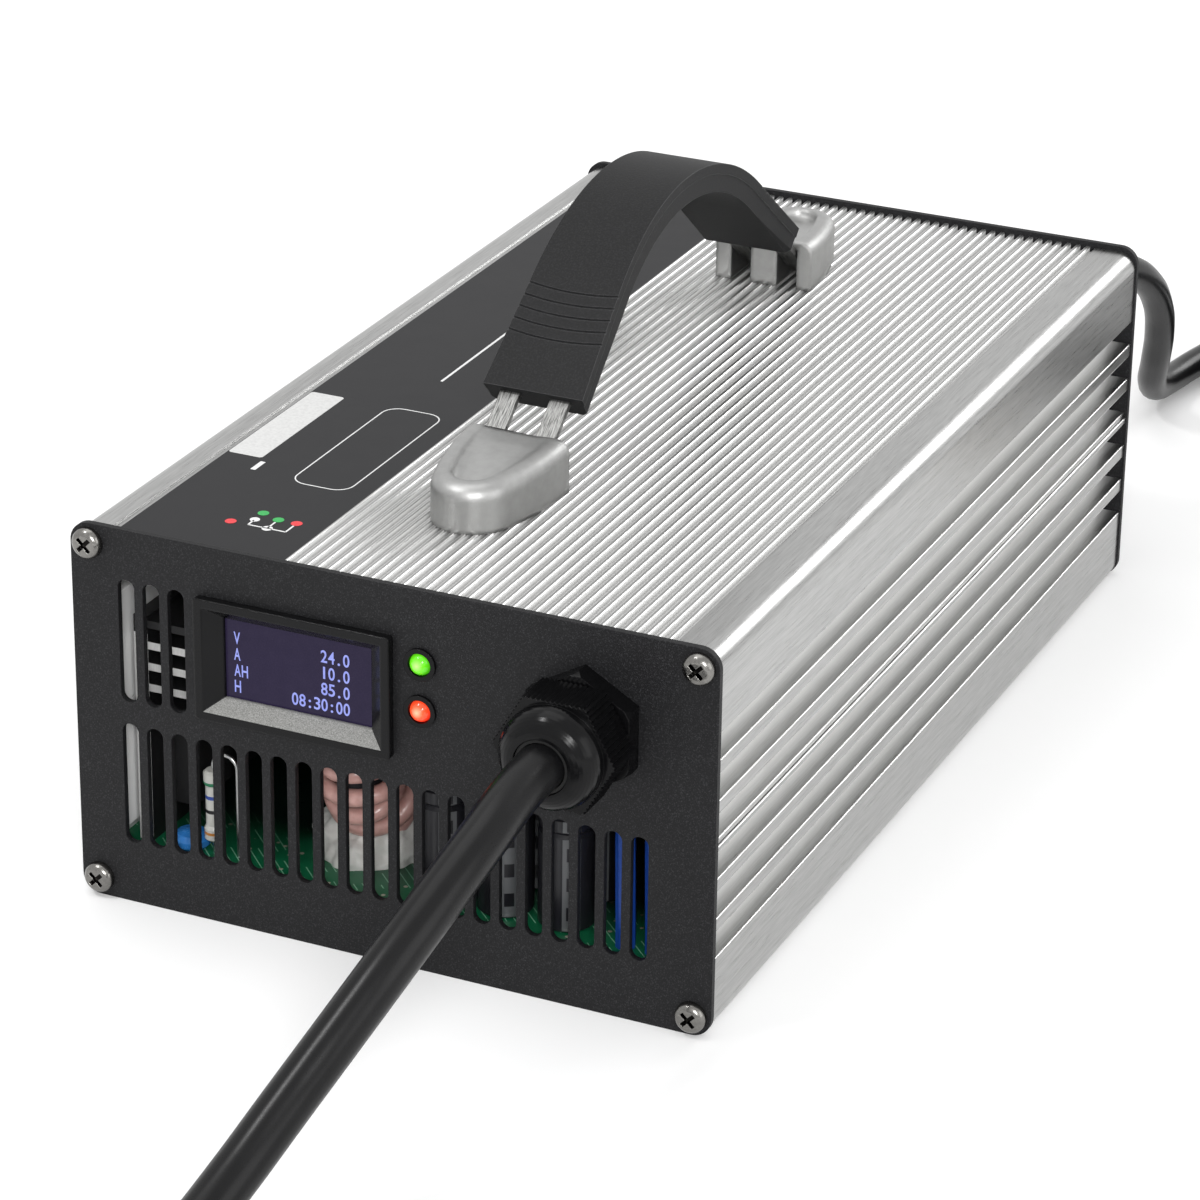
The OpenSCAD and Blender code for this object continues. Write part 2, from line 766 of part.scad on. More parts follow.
module handle_grip() {
    parting = 2.4;
    step = 0.25;
    foot = 1.6;
    color("#262627") difference() {
        union() {
            intersection() {
                arch(grip_end_l) grip_section(0, parting, 0);
                waisted(0);
            }
            intersection() {
                arch(grip_end_l) grip_section(parting - eps, grip_t, foot);
                waisted(step);
            }
        }
        grip_grooves();
        for (s = [-1, 1]) arch(grip_end_l + 1) strap_section(s, slip);
    }
}

module strap_section(s, grow) {
    translate([strap_mid_r - strap_t / 2 - grow, s * strap_x - strap_w / 2 - grow])
        square([strap_t + 2 * grow, strap_w + 2 * grow]);
}

// The straps run down their slope until they are this far above the housing
strap_foot = 4.2;
strap_end_l = (arch_z + strap_mid_r * cos(grip_angle) - housing_h - strap_foot) / sin(grip_angle);

module strap_left() {
    color("#8f8f8c") arch(strap_end_l) strap_section(-1, 0);
}

module strap_right() {
    color("#8f8f8c") arch(strap_end_l) strap_section(1, 0);
}

// Plan of an end cap: two long side arcs and a nose, all drawn in by the inset
cap_side_r = 80;
cap_nose_v = (pow(cap_side_r - cap_w / 2, 2) - pow(cap_side_r - cap_l, 2)) / (2 * (cap_side_r - cap_l));
cap_turn = atan2(cap_nose_v, cap_side_r - cap_w / 2);

function cap_outline(inset) = let (
    right = arc_points([cap_w / 2 - cap_side_r, 0], cap_side_r - inset, 0, cap_turn, 4),
    nose = arc_points([0, cap_nose_v], cap_l - cap_nose_v - inset, cap_turn, 180 - cap_turn, 16)
) concat(
    [for (i = [0:3]) right[i]], nose, [for (i = [3:-1:0]) [-right[i][0], right[i][1]]]
);

// Height of the cap's rim at the distance v from its inner face
function rim_height(v) = cap_h - 1.6 * v / cap_l;

// One level of the cap: the outline drawn in by the inset, and lowered below the rim
function cap_level(inset, drop, dish) =
    [for (p = cap_outline(inset)) [p[0], p[1], rim_height(p[1]) - drop - dish * pow(p[1] / cap_l, 1.5)]];

// End cap with a rounded rim and a scooped top; inner face on v = 0, nose along +Y
module cap_body() {
    fillet = 3;
    levels = concat(
        [[for (p = cap_outline(0)) [p[0], p[1], 0]]],
        [for (i = [0:5]) let (a = 90 * i / 5) cap_level(fillet * (1 - cos(a)), fillet * (1 - sin(a)), 0)],
        [
            cap_level(4.3, 0.02, 0), cap_level(4.9, 0.1, 2.2),
            cap_level(6.6, 0.2, 3.2), cap_level(8.2, 0.3, 3.4)
        ]
    );
    n = len(levels);
    s = len(levels[0]);
    points = [for (l = levels) for (p = l) p];
    polyhedron(points, concat(
        [[for (i = [0:s - 1]) i]],
        [for (k = [0:n - 2], i = [0:s - 2]) [k * s + i, k * s + s + i, k * s + s + i + 1]],
        [for (k = [0:n - 2], i = [0:s - 2]) [k * s + i, k * s + s + i + 1, k * s + i + 1]],
        [for (i = [0:(s - 1) / 2 - 1]) let (b = (n - 1) * s) [b + i, b + s - 1 - i, b + i + 1]],
        [for (i = [0:(s - 1) / 2 - 2]) let (b = (n - 1) * s) [b + i + 1, b + s - 1 - i, b + s - 2 - i]],
        [concat([for (k = [n - 1:-1:0]) k * s], [for (k = [0:n - 1]) k * s + s - 1])]
    ));
}

// Cap at the back end of the handle, with a sloped pocket for each strap and two blind screw holes
module handle_cap() {
    pocket_w = strap_w + 0.7;
    ceiling = strap_mid_r + strap_t / 2 + slip;
    slope_y = function (r, z) (z - arch_z - r * cos(grip_angle)) / -tan(grip_angle) + r * sin(grip_angle);
    slope_z = function (r, y) arch_z + r * cos(grip_angle) - (y - r * sin(grip_angle)) * tan(grip_angle);
    difference() {
        translate([0, cap_y, housing_h]) cap_body();
        for (s = [-1, 1]) translate([s * strap_x - pocket_w / 2, 0, 0]) rotate([90, 0, 90])
            linear_extrude(pocket_w) polygon([
                [cap_y - 1, housing_h - 1], [cap_y - 1, slope_z(ceiling, cap_y - 1)],
                [slope_y(ceiling, housing_h - 1), housing_h - 1]
            ]);
        for (y = cap_screw_ys) translate([0, y, housing_h - 1])
            cylinder(d = cap_screw_d + 0.1, h = cap_bore_h + 1);
    }
}

module handle_cap_back() {
    color("#a6a6a6") handle_cap();
}

module handle_cap_front() {
    color("#a6a6a6") mirror([0, 1, 0]) handle_cap();
}

module handle_cap_screws() {
    head_d = 2 * cap_screw_d;
    shank_l = housing_h - top_in + cap_bore_h - 0.5;
    color("#b9b6ae") cap_screw_places() translate([0, 0, top_in]) rotate([90, 0, 0])
        pan_screw(head_d, head_d / 3, cap_screw_d, shank_l);
}

// Fan

module at_fan() {
    translate([fan_x, 0, fan_z]) children();
}

module fan_corners() {
    for (x = [-1, 1], z = [-1, 1]) translate([x * fan_pitch / 2, 0, z * fan_pitch / 2]) children();
}

// Cylinder along +Y
module y_rod(r, y0, l) {
    translate([0, y0, 0]) rotate([-90, 0, 0]) cylinder(r = r, h = l);
}

motor_plate_t = 2.4;
motor_y = half_l - motor_plate_t;
bearing_y = fan_y0 + 4.5;

module fan_frame() {
    color("#1a1a1a") at_fan() difference() {
        union() {
            difference() {
                along_y(fan_y0, fan_t) translate([0, -fan_w / 2]) rounded_square(fan_w, fan_w, 3.5);
                y_rod(fan_bore_d / 2, fan_y0 - 1, fan_t + 2);
            }
            y_rod(hub_r + 1, motor_y, motor_plate_t);
            y_rod(4.2, bearing_y, motor_y - bearing_y + eps);
            for (a = [45:90:315]) rotate([0, a, 0]) translate([hub_r, motor_y, -1.5])
                cube([fan_bore_d / 2 - hub_r + 1, motor_plate_t, 3]);
        }
        y_rod(shaft_r + shaft_gap, fan_y0, fan_t + 1);
        fan_corners() y_rod(fan_screw_d / 2 + 0.2, fan_y0 - 1, fan_t + 2);
    }
}

// Cambered blade, drawn along +X from the hub
module fan_blade() {
    camber_r = 20;
    blade_t = 1.4;
    translate([hub_r - 0.6, 0, 0]) rotate([0, 90, 0]) linear_extrude(fan_bore_d / 2 - hub_r - 0.4)
        rotate(48) translate([0, -camber_r]) difference() {
            intersection() {
                circle(camber_r);
                translate([-8, camber_r - 6]) square([16, 8]);
            }
            circle(camber_r - blade_t);
        }
}

module fan_rotor() {
    rotor_y = fan_y0 + 1;
    rotor_l = motor_y - 0.8 - rotor_y;
    color("#202020") at_fan() {
        difference() {
            y_rod(hub_r, rotor_y, rotor_l);
            y_rod(hub_r - hub_wall, rotor_y + 2, rotor_l);
        }
        y_rod(shaft_r, rotor_y + 1, half_l - 0.6 - rotor_y - 1);
        intersection() {
            for (i = [0:blade_count - 1]) rotate([0, 360 * i / blade_count, 0])
                translate([0, rotor_y + rotor_l / 2, 0]) fan_blade();
            difference() {
                y_rod(fan_bore_d / 2 - 1, rotor_y + 0.5, rotor_l - 1);
                y_rod(hub_r - hub_wall / 2, rotor_y, rotor_l);
            }
        }
    }
}

// Round wire guard over the fan's opening
module fan_guard() {
    leg_y = back_face + guard_wire_r + 0.05;
    ring_y = leg_y + 1.7 * guard_wire_r;
    ring_step = 6.4;
    eye_r = fan_screw_d / 2 + guard_wire_r + 0.2;
    color("#c9c9c9") at_fan() {
        for (r = [6:ring_step:fan_bore_d / 2]) translate([0, ring_y, 0]) rotate([90, 0, 0])
            rotate_extrude() translate([r, 0]) circle(guard_wire_r, $fn = 16);
        for (a = [45:90:315]) rotate([0, a, 0]) translate([5, leg_y, 0]) rotate([0, 90, 0])
            cylinder(r = guard_wire_r, h = fan_pitch / 2 * sqrt(2) - 5 - eye_r + 0.3, $fn = 16);
        fan_corners() translate([0, leg_y, 0]) rotate([90, 0, 0])
            rotate_extrude() translate([eye_r, 0]) circle(guard_wire_r, $fn = 16);
    }
}

nut_d = 8.1;
nut_t = 3.2;

module fan_screws() {
    head_y = back_face + 2 * guard_wire_r + 0.1;
    color("#b9b6ae") at_fan() fan_corners() translate([0, head_y, 0]) mirror([0, 1, 0])
        pan_screw(2.1 * fan_screw_d, 0.7 * fan_screw_d, fan_screw_d, head_y - fan_y0 + nut_t + 0.4);
}

module fan_nuts() {
    color("#b9b6ae") at_fan() fan_corners() difference() {
        translate([0, fan_y0 - nut_t, 0]) rotate([-90, 0, 0]) cylinder(d = nut_d, h = nut_t, $fn = 6);
        y_rod(fan_screw_d / 2 + 0.05, fan_y0 - nut_t - 1, nut_t + 2);
    }
}

// Power board and what stands on it

module main_board() {
    color("#146b47") translate([-board_w / 2, board_y0, board_z])
        cube([board_w, board_y1 - board_y0, board_t]);
}

sink_base_t = 3.4;
sink_fin_l = 14.5;
sink_fin_count = 5;
sink_x = side_in - 0.6;       // outer face of a heat sink
sink_in = sink_x - sink_base_t - sink_fin_l;
sink_y0 = board_y0 + 3;
sink_l = 180;
sink_y1 = min(sink_y0 + sink_l, board_y1 - 4);
wire_room = 18;               // length at the front of the right heat sink's side that the output leads need

// Comb heat sink from y0 to the common back end, its fins towards the middle
module heat_sink(y0) {
    fin_thickness = 1.8;
    fin_pitch = 5;
    top_margin = 0.8;
    translate([-sink_x, y0, board_top]) {
        cube([sink_base_t, sink_y1 - y0, sink_h]);
        for (i = [0:sink_fin_count - 1])
            translate([sink_base_t - eps, 0, sink_h - top_margin - fin_thickness - i * fin_pitch])
                cube([sink_fin_l, sink_y1 - y0, fin_thickness]);
    }
}

module heat_sink_left() {
    color("#2b2b2b") heat_sink(sink_y0);
}

module heat_sink_right() {
    color("#2b2b2b") mirror([1, 0, 0]) heat_sink(sink_y0 + wire_room);
}

// Flat three-legged power device with a screw hole, its back on the plane x = 0
module transistor() {
    body = [5, 15.6, 20.4];
    leg = [0.7, 1.2, 5];
    leg_pitch = 5.4;
    difference() {
        translate([0, -body[1] / 2, leg[2]]) cube(body);
        translate([-1, 0, leg[2] + body[2] - 4]) rotate([0, 90, 0]) cylinder(d = 3.6, h = body[0] + 2);
    }
    for (i = [-1:1]) translate([body[0] / 2, i * leg_pitch - leg[1] / 2, 0]) cube(leg + [0, 0, eps]);
}

module transistor_row(y0) {
    count = 5;
    pitch = (sink_y1 - y0) / count;
    for (i = [0:count - 1])
        translate([-sink_x + sink_base_t + 0.05, y0 + (i + 0.5) * pitch, board_top]) transistor();
}

module power_transistors() {
    color("#242424") {
        transistor_row(sink_y0);
        mirror([1, 0, 0]) transistor_row(sink_y0 + wire_room);
    }
}

// Output choke: a round core standing on its rim, wound all round
wire_r = 2;
inner_layer = 2 * wire_r + 0.2;
turn_r = choke_core_r + wire_r + 0.1;
choke_out = choke_r + turn_r + wire_r;
choke_at = [-16, board_y0 + choke_out + 2.2, board_top + choke_out + 0.2];

module at_choke() {
    translate(choke_at) rotate([0, 90, 0]) children();
}

module choke_core() {
    color("#202022") at_choke() rotate_extrude() translate([choke_r, 0]) circle(choke_core_r);
}

// Every second turn lies on top of its neighbours at the inside of the core
module choke_winding() {
    color("#c79a94") at_choke() for (i = [0:choke_turns - 1]) {
        shift = i % 2 == 0 ? 0 : inner_layer / 2;
        rotate(360 * i / choke_turns) translate([choke_r - shift, 0, 0]) rotate([90, 0, 0])
            rotate_extrude($fn = 32) translate([turn_r + shift, 0]) circle(wire_r, $fn = 16);
    }
}

glue_half_w = 14;
glue_h = 11;

// Mound of glue that the choke stands in, hollowed round the winding
module choke_glue() {
    outer = turn_r + wire_r + slip;
    color("#ecebe6") difference() {
        intersection() {
            translate([choke_at[0], choke_at[1], board_top]) cylinder(r1 = 24, r2 = 17, h = glue_h);
            translate([choke_at[0] - glue_half_w, -half_l, 0]) cube([2 * glue_half_w, housing_l, housing_h]);
        }
        at_choke() rotate_extrude() {
            translate([choke_r, 0]) circle(outer);
            translate([choke_r - inner_layer / 2, 0]) circle(outer + inner_layer / 2);
        }
    }
}

// Round capacitor with a crimped groove near its top
module can_capacitor(d, h) {
    groove_z = h - 4;
    rotate_extrude() polygon([
        [0, 0], [d / 2 - 0.5, 0], [d / 2, 0.5], [d / 2, groove_z - 0.8], [d / 2 - 0.6, groove_z],
        [d / 2, groove_z + 0.8], [d / 2, h - 0.6], [d / 2 - 0.6, h], [d / 2 - 1, h - 0.3], [0, h - 0.3]
    ]);
}

module output_capacitors() {
    can_d = 12.5;
    can_h = 27;
    left = choke_at[0] + glue_half_w + 1.5;
    right = dc_gland_x - 0.6;
    pitch = min(can_d + 2, (right - left - can_d) / 2);
    first = [left + can_d / 2, board_y0 + 10, board_top];
    color("#1c1c22") for (i = [0:2], j = [0, 1]) translate(first + [i * pitch, j * pitch, 0])
        can_capacitor(can_d, can_h);
}

// Row of three between the two heat sinks
module input_capacitors() {
    can_d = 28;
    can_h = 42;
    row_y = board_y1 - can_d / 2 - 8;
    color("#1c1c22") for (i = [-1:1]) translate([i * (sink_in - can_d / 2 - 1), row_y, board_top])
        can_capacitor(can_d, can_h);
}

transformer_at = [2, -8];
leg_w = 17;
window_gap = 10;
core_d = 21;
core_w = leg_w + 4 * window_gap;
core_h = 46;
yoke_t = 9;

module transformer_core() {
    color("#3a3a3e") translate([transformer_at[0], transformer_at[1], board_top]) difference() {
        translate([-core_w / 2, -core_d / 2, 0]) cube([core_w, core_d, core_h]);
        for (s = [-1, 1]) translate([s * (leg_w + window_gap) / 2 - window_gap / 2, -core_d / 2 - 1, yoke_t])
            cube([window_gap, core_d + 2, core_h - 2 * yoke_t]);
    }
}

module transformer_winding() {
    room = 0.3;
    side = window_gap - 2 * room;
    hole = [leg_w + 2 * room, core_d + 2 * room, core_h];
    coil = [hole[0] + 2 * side, hole[1] + 2 * side, core_h - 2 * yoke_t - 2 * room];
    color("#c9a23a") translate([transformer_at[0], transformer_at[1], board_top + yoke_t + room])
        difference() {
            translate([-coil[0] / 2, -coil[1] / 2, 0]) cube(coil);
            translate([-hole[0] / 2, -hole[1] / 2, -1]) cube(hole);
        }
}

disc_r = 4.2;
disc_x = -sink_x + sink_base_t + 2 * disc_r;
resistor_at = [disc_x + 6, board_y0 + 4.6, board_top + 3];
resistor_l = 17;
lead_r = 0.45;
lead_bend = 3;

module shunt_resistor() {
    end_r = 2.2;
    waist_r = 1.8;
    bevel = 0.6;
    end_l = 3;
    slope = 0.8;
    color("#9fb6c4") translate(resistor_at) rotate_extrude() polygon([
        [0, 0], [end_r - bevel, 0], [end_r, bevel], [end_r, end_l], [waist_r, end_l + slope],
        [waist_r, resistor_l - end_l - slope], [end_r, resistor_l - end_l], [end_r, resistor_l - bevel],
        [end_r - bevel, resistor_l], [0, resistor_l]
    ]);
}

module resistor_leads() {
    drop = resistor_at[2] - board_top;
    color("#d5d5d2") translate(resistor_at) {
        translate([0, 0, -drop]) cylinder(r = lead_r, h = drop, $fn = 16);
        translate([lead_bend, 0, resistor_l + 1]) rotate([90, 0, 0]) rotate_extrude(angle = 180)
            translate([lead_bend, 0]) circle(lead_r, $fn = 16);
        translate([0, 0, resistor_l]) cylinder(r = lead_r, h = 1 + eps, $fn = 16);
        translate([2 * lead_bend, 0, -drop]) cylinder(r = lead_r, h = drop + resistor_l + 1 + eps, $fn = 16);
    }
}

module disc_capacitor() {
    color("#2f7fd0") translate([disc_x, board_y0 + 5, board_top]) rotate_extrude() polygon([
        [0, 0], [disc_r - 0.8, 0], [disc_r, 0.9], [disc_r, 2.2], [disc_r - 1, 3.4], [0, 3.8]
    ]);
}

module relay() {
    relay_w = 15;
    relay_l = 28;
    relay_h = 20;
    color("#23272b") translate([sink_in - relay_w / 2 - 1, 18, board_top]) linear_extrude(relay_h)
        rounded_square(relay_w, relay_l, 1);
}

// Thick leads from the output gland down to the board
module output_wires() {
    wire_d = 4.4;
    spread = [2.4, 2.4, 3, 3.4, 3.4, 3.4, 3.4, 3.4];
    start = [dc_gland_x, -half_l + thread_tail - 4, dc_gland_z];
    foot = [dc_gland_x + 8.6, start[1] + 4, board_top];
    middle = [
        start, start + [0, 7, -0.5], start + [1, 13, -6], start + [3, 13.5, -17],
        start + [6, 9, -30], start + [8, 5, -42], foot + [0, 0, 5], foot
    ];
    color("#1f4fa8") for (s = [-1, 1])
        swept_tube([for (i = [0:len(middle) - 1]) middle[i] + [s * spread[i], 0, 0]], wire_d);
}

// Output cable

module dc_cable() {
    color("#17171a") swept_tube(dc_route, dc_d, 12);
}

// Ring with cut corners between two radii, as high as the coil's layers, over all or part of a turn
module coil_ring(at, r0, r1, h, turn = 360) {
    cut = 0.15 * h;
    translate([at[0], at[1], coil_floor]) rotate_extrude(angle = turn) polygon([
        [r0, cut], [r0 + cut, 0], [r1 - cut, 0], [r1, cut],
        [r1, h - cut], [r1 - cut, h], [r0 + cut, h], [r0, h - cut]
    ]);
}

// Strap round a coil's section at one angle: low on the outside, and high up to the radius r_high
module coil_tie(at, angle, r0, r1, r_high, low, high) {
    foot = coil_floor - tie_room - tie_t;
    inner = sqrt(r0 * r0 - tie_w * tie_w / 4) - tie_room;
    translate([at[0], at[1], 0]) rotate(angle) translate([0, tie_w / 2, 0]) rotate([90, 0, 0])
        linear_extrude(tie_w) difference() {
            polygon([
                [inner - tie_t, foot], [r1 + tie_room + tie_t, foot],
                [r1 + tie_room + tie_t, low + tie_room + tie_t], [r_high + tie_t, high + tie_room + tie_t],
                [inner - tie_t, high + tie_room + tie_t]
            ]);
            polygon([
                [inner, foot + tie_t], [r1 + tie_room, foot + tie_t],
                [r1 + tie_room, low + tie_room], [r_high, high + tie_room], [inner, high + tie_room]
            ]);
        }
}

// One layer of two turns; the cable's last half turn climbs onto it from the inside
module dc_coil() {
    color("#17171a") {
        coil_ring(dc_coil_at, dc_ring_r, coil_out * dc_d, dc_d);
        coil_ring(dc_coil_at, dc_tail_r - dc_d / 2, dc_ring_r + dc_d / 2, dc_d, 180);
    }
}

module dc_tail() {
    color("#17171a") swept_tube(dc_tail_route, dc_d, 12);
}

module dc_tie() {
    color("#2a2a2c") coil_tie(
        dc_coil_at, 270, dc_tail_r - dc_d / 2, coil_out * dc_d, dc_tail_r + dc_d / 2,
        coil_floor + dc_d, (dc_low + dc_high + dc_d) / 2 + tie_climb
    );
}

// Two-pole battery connector, lying flat on the coil with its mouth towards +Y
connector_l = 44;
connector_w = 36;
throat_w = 18;
throat_l = 8;
notch_d = 5;
pole_x = 8.6;
pole_l = 15;
pole_w = 12;
pole_h = 9.5;
contact_w = 9.2;
contact_t = 2.4;
dc_end = dc_tail_route[len(dc_tail_route) - 1];

module at_connector() {
    translate(dc_end) children();
}

module dc_connector() {
    wide = connector_w / 2;
    color("#6a6e72") at_connector() difference() {
        linear_extrude(connector_t, center = true) difference() {
            polygon([
                [-throat_w / 2, 0], [throat_w / 2, 0], [wide, throat_l], [wide, connector_l],
                [-wide, connector_l], [-wide, throat_l]
            ]);
            for (s = [-1, 1]) translate([s * (wide + 0.6), (throat_l + connector_l) / 2]) circle(d = notch_d);
        }
        for (s = [-1, 1]) translate([s * pole_x - pole_w / 2, connector_l - pole_l, -pole_h / 2])
            cube([pole_w, pole_l + 1, pole_h]);
    }
}

module dc_contacts() {
    color("#c8ccd0") at_connector() for (s = [-1, 1])
        translate([s * pole_x - contact_w / 2, connector_l - pole_l, -pole_h / 2 + 0.2])
            cube([contact_w, pole_l - 3, contact_t]);
}

// Mains cable

module ac_cable() {
    color("#17171a") swept_tube(ac_route, ac_d, 12);
}

ac_coil_in = (coil_mid - 1.6) * ac_d;

// Two layers, each two turns wide
module ac_coil() {
    color("#17171a") coil_ring(ac_coil_at, ac_coil_in, coil_out * ac_d, 2 * ac_d);
}

module ac_tail() {
    color("#17171a") swept_tube(ac_tail_route, ac_d, 12);
}

module ac_tie() {
    top = coil_floor + 2 * ac_d;
    color("#2a2a2c") coil_tie(ac_coil_at, 90, ac_coil_in, coil_out * ac_d, coil_mid * ac_d, top, top);
}

// Moulded three-pin plug that lies on its side, with its pins towards -Y
plug_t = 24.8;
plug_w = 27;
plug_d = 30;
plug_neck_l = 24;
plug_head_l = 20;
ac_end = ac_tail_route[len(ac_tail_route) - 1];

module at_plug() {
    translate([ac_end[0], ac_end[1], plug_t / 2]) children();
}

module ac_plug() {
    mouth_r = 5.2;
    neck_r = 7.4;
    color("#17171a") at_plug() rotate([90, 0, 0]) {
        rotate_extrude() polygon([
            [0, 0], [mouth_r, 0], [mouth_r + 0.4, 1], [neck_r, plug_neck_l - 2], [neck_r, plug_neck_l],
            [0, plug_neck_l]
        ]);
        translate([0, 0, plug_neck_l - eps]) linear_extrude(plug_head_l) intersection() {
            circle(d = plug_d);
            square([plug_w, plug_t], center = true);
        }
    }
}

module ac_plug_pins() {
    blade = [1.5, 16, 6.3];
    blade_x = 6.35;
    earth_d = 4.8;
    earth_l = 18;
    earth_drop = 7.5;
    color("#c9b98a") at_plug() translate([0, -plug_neck_l - plug_head_l, 0]) {
        for (s = [-1, 1]) translate([s * blade_x - blade[0] / 2, -blade[1], -1.5]) cube(blade);
        translate([0, 0, -earth_drop]) rotate([90, 0, 0]) cylinder(d = earth_d, h = earth_l);
    }
}

upper_shell();
lower_shell();
front_plate();
back_plate();
front_plate_screws();
back_plate_screws();
label_film();
handle_grip();
strap_left();
strap_right();
handle_cap_front();
handle_cap_back();
handle_cap_screws();
display_bezel();
display_glass();
display_board();
lamp_green();
lamp_red();
lamp_holders();
dc_gland_body();
dc_gland_nut();
dc_gland_seal();
dc_gland_locknut();
dc_cable();
dc_coil();
dc_tail();
dc_tie();
dc_connector();
dc_contacts();
ac_gland_body();
ac_gland_nut();
ac_gland_seal();
ac_gland_locknut();
ac_cable();
ac_coil();
ac_tail();
ac_tie();
ac_plug();
ac_plug_pins();
fan_frame();
fan_rotor();
fan_guard();
fan_screws();
fan_nuts();
main_board();
heat_sink_left();
heat_sink_right();
power_transistors();
choke_core();
choke_winding();
choke_glue();
output_capacitors();
input_capacitors();
transformer_core();
transformer_winding();
shunt_resistor();
resistor_leads();
disc_capacitor();
relay();
output_wires();
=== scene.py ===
# %% [markdown]
# # Dressing a battery charger
# The packed model brings every hard piece of the charger at its real size and place. This lesson adds what
# a CAD model leaves out: the camera, the light, two cables as smooth curves, the figures on the display, the
# print on the label, a lumpy mound of glue, and a finish for each surface. Nothing that is already there is
# moved or resized.

# %% Load the frame
import math

import bpy
from mathutils import Matrix, Vector


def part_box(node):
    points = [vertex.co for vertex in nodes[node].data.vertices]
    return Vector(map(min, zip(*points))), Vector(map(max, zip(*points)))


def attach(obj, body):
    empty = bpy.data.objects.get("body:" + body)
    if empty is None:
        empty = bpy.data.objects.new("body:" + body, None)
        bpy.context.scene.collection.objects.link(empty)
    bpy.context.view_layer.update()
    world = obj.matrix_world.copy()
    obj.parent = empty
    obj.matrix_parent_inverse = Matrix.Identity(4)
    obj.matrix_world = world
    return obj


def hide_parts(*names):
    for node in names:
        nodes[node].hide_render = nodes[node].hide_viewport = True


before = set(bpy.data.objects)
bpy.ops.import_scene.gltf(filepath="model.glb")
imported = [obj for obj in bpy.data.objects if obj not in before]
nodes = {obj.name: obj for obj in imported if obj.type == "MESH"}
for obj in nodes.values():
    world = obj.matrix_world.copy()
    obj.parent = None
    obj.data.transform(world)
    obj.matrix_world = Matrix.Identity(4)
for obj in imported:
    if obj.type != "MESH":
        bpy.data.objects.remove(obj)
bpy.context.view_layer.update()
MM = 0.001
BODY = "charger"
print("pieces in the frame:", len(nodes))

# %% [markdown]
# ## Camera
# The charger was seen from its front right corner, from above, through a long lens. A camera can be nudged
# by eye until it fits, but its place, its aim and its lens then trade errors with each other. The values
# below were solved from the straight edges of the case, so the render has the same perspective. A camera
# looks along its own -Z, with +Y up, so the three axes become the columns of its matrix.

# %% Camera
camera_place = Vector((0.38646, -0.87929, 0.46816))
camera_aim = Vector((-0.3749, 0.8294, -0.4142)).normalized()
camera_top = Vector((-0.1835, 0.3716, 0.9101))
FOCAL_LENGTH = 134.7
SENSOR_WIDTH = 36

bpy.ops.object.select_all(action="DESELECT")
bpy.ops.object.camera_add()
camera = bpy.context.object
camera_side = camera_aim.cross(camera_top).normalized()
camera_axes = Matrix((camera_side, camera_side.cross(camera_aim), -camera_aim)).transposed()
camera.matrix_world = Matrix.Translation(camera_place) @ camera_axes.to_4x4()
camera.data.sensor_width = SENSOR_WIDTH
camera.data.lens = FOCAL_LENGTH
bpy.context.scene.camera = camera
print("camera is", round(camera_place.length, 3), "m from the origin")

# %% [markdown]
# ## Shader arithmetic
# A finish is a small network of nodes. Wiring it by hand hides the idea behind it, so a socket is wrapped
# in a class whose operators add Math nodes: `1 - mask` then reads as it would in a formula. A second class
# adds nodes to a tree, always in the same way. A third holds one material, and has a method for each kind of
# node that the finishes below share.

# %% Sockets that can be added and multiplied
class Signal:
    """A socket that carries a number over a surface."""

    def __init__(self, recipe, socket):
        self.recipe = recipe
        self.socket = socket

    def math(self, operation, first, second):
        return self.recipe.node("ShaderNodeMath", {0: first, 1: second}, operation=operation)

    def __add__(self, other):
        return self.math("ADD", self, other)

    def __sub__(self, other):
        return self.math("SUBTRACT", self, other)

    def __rsub__(self, other):
        return self.math("SUBTRACT", other, self)

    def __mul__(self, other):
        return self.math("MULTIPLY", self, other)

    def __pow__(self, other):
        return self.math("POWER", self, other)

    def __lt__(self, other):
        return self.math("LESS_THAN", self, other)

    def __gt__(self, other):
        return self.math("GREATER_THAN", self, other)

    def __or__(self, other):
        return self.math("MAXIMUM", self, other)

    def __abs__(self):
        return self.recipe.node("ShaderNodeMath", {0: self}, operation="ABSOLUTE")

    def fraction(self):
        """What is left of the number without its whole part."""
        return self.recipe.node("ShaderNodeMath", {0: self}, operation="FRACT")

    __radd__ = __add__
    __rmul__ = __mul__


print("sockets are wrapped by", Signal.__name__)


# %% Node trees
class Recipe:
    """A node tree, and the one way in which nodes are added to it."""

    def __init__(self, tree):
        self.tree = tree

    def node(self, kind, inputs=None, output=0, stops=None, **settings):
        made = self.tree.nodes.new(kind)
        for name, value in settings.items():
            setattr(made, name, value)
        if stops:
            while len(made.color_ramp.elements) < len(stops):
                made.color_ramp.elements.new(1.0)
            for element, (place, color) in zip(made.color_ramp.elements, stops):
                element.position = place
                element.color = color
        for name, value in (inputs or {}).items():
            self.feed(made.inputs[name], value)
        return Signal(self, made.outputs[output])

    def feed(self, socket, value):
        if isinstance(value, Signal):
            self.tree.links.new(value.socket, socket)
        else:
            socket.default_value = value


print("node trees are wrapped by", Recipe.__name__)

# %% Materials
BEVEL_SAMPLES = 6
# How far the rounded and the true normal agree at an edge, and on the open faces.
EDGE_AGREEMENT = (0.8, 0.98)


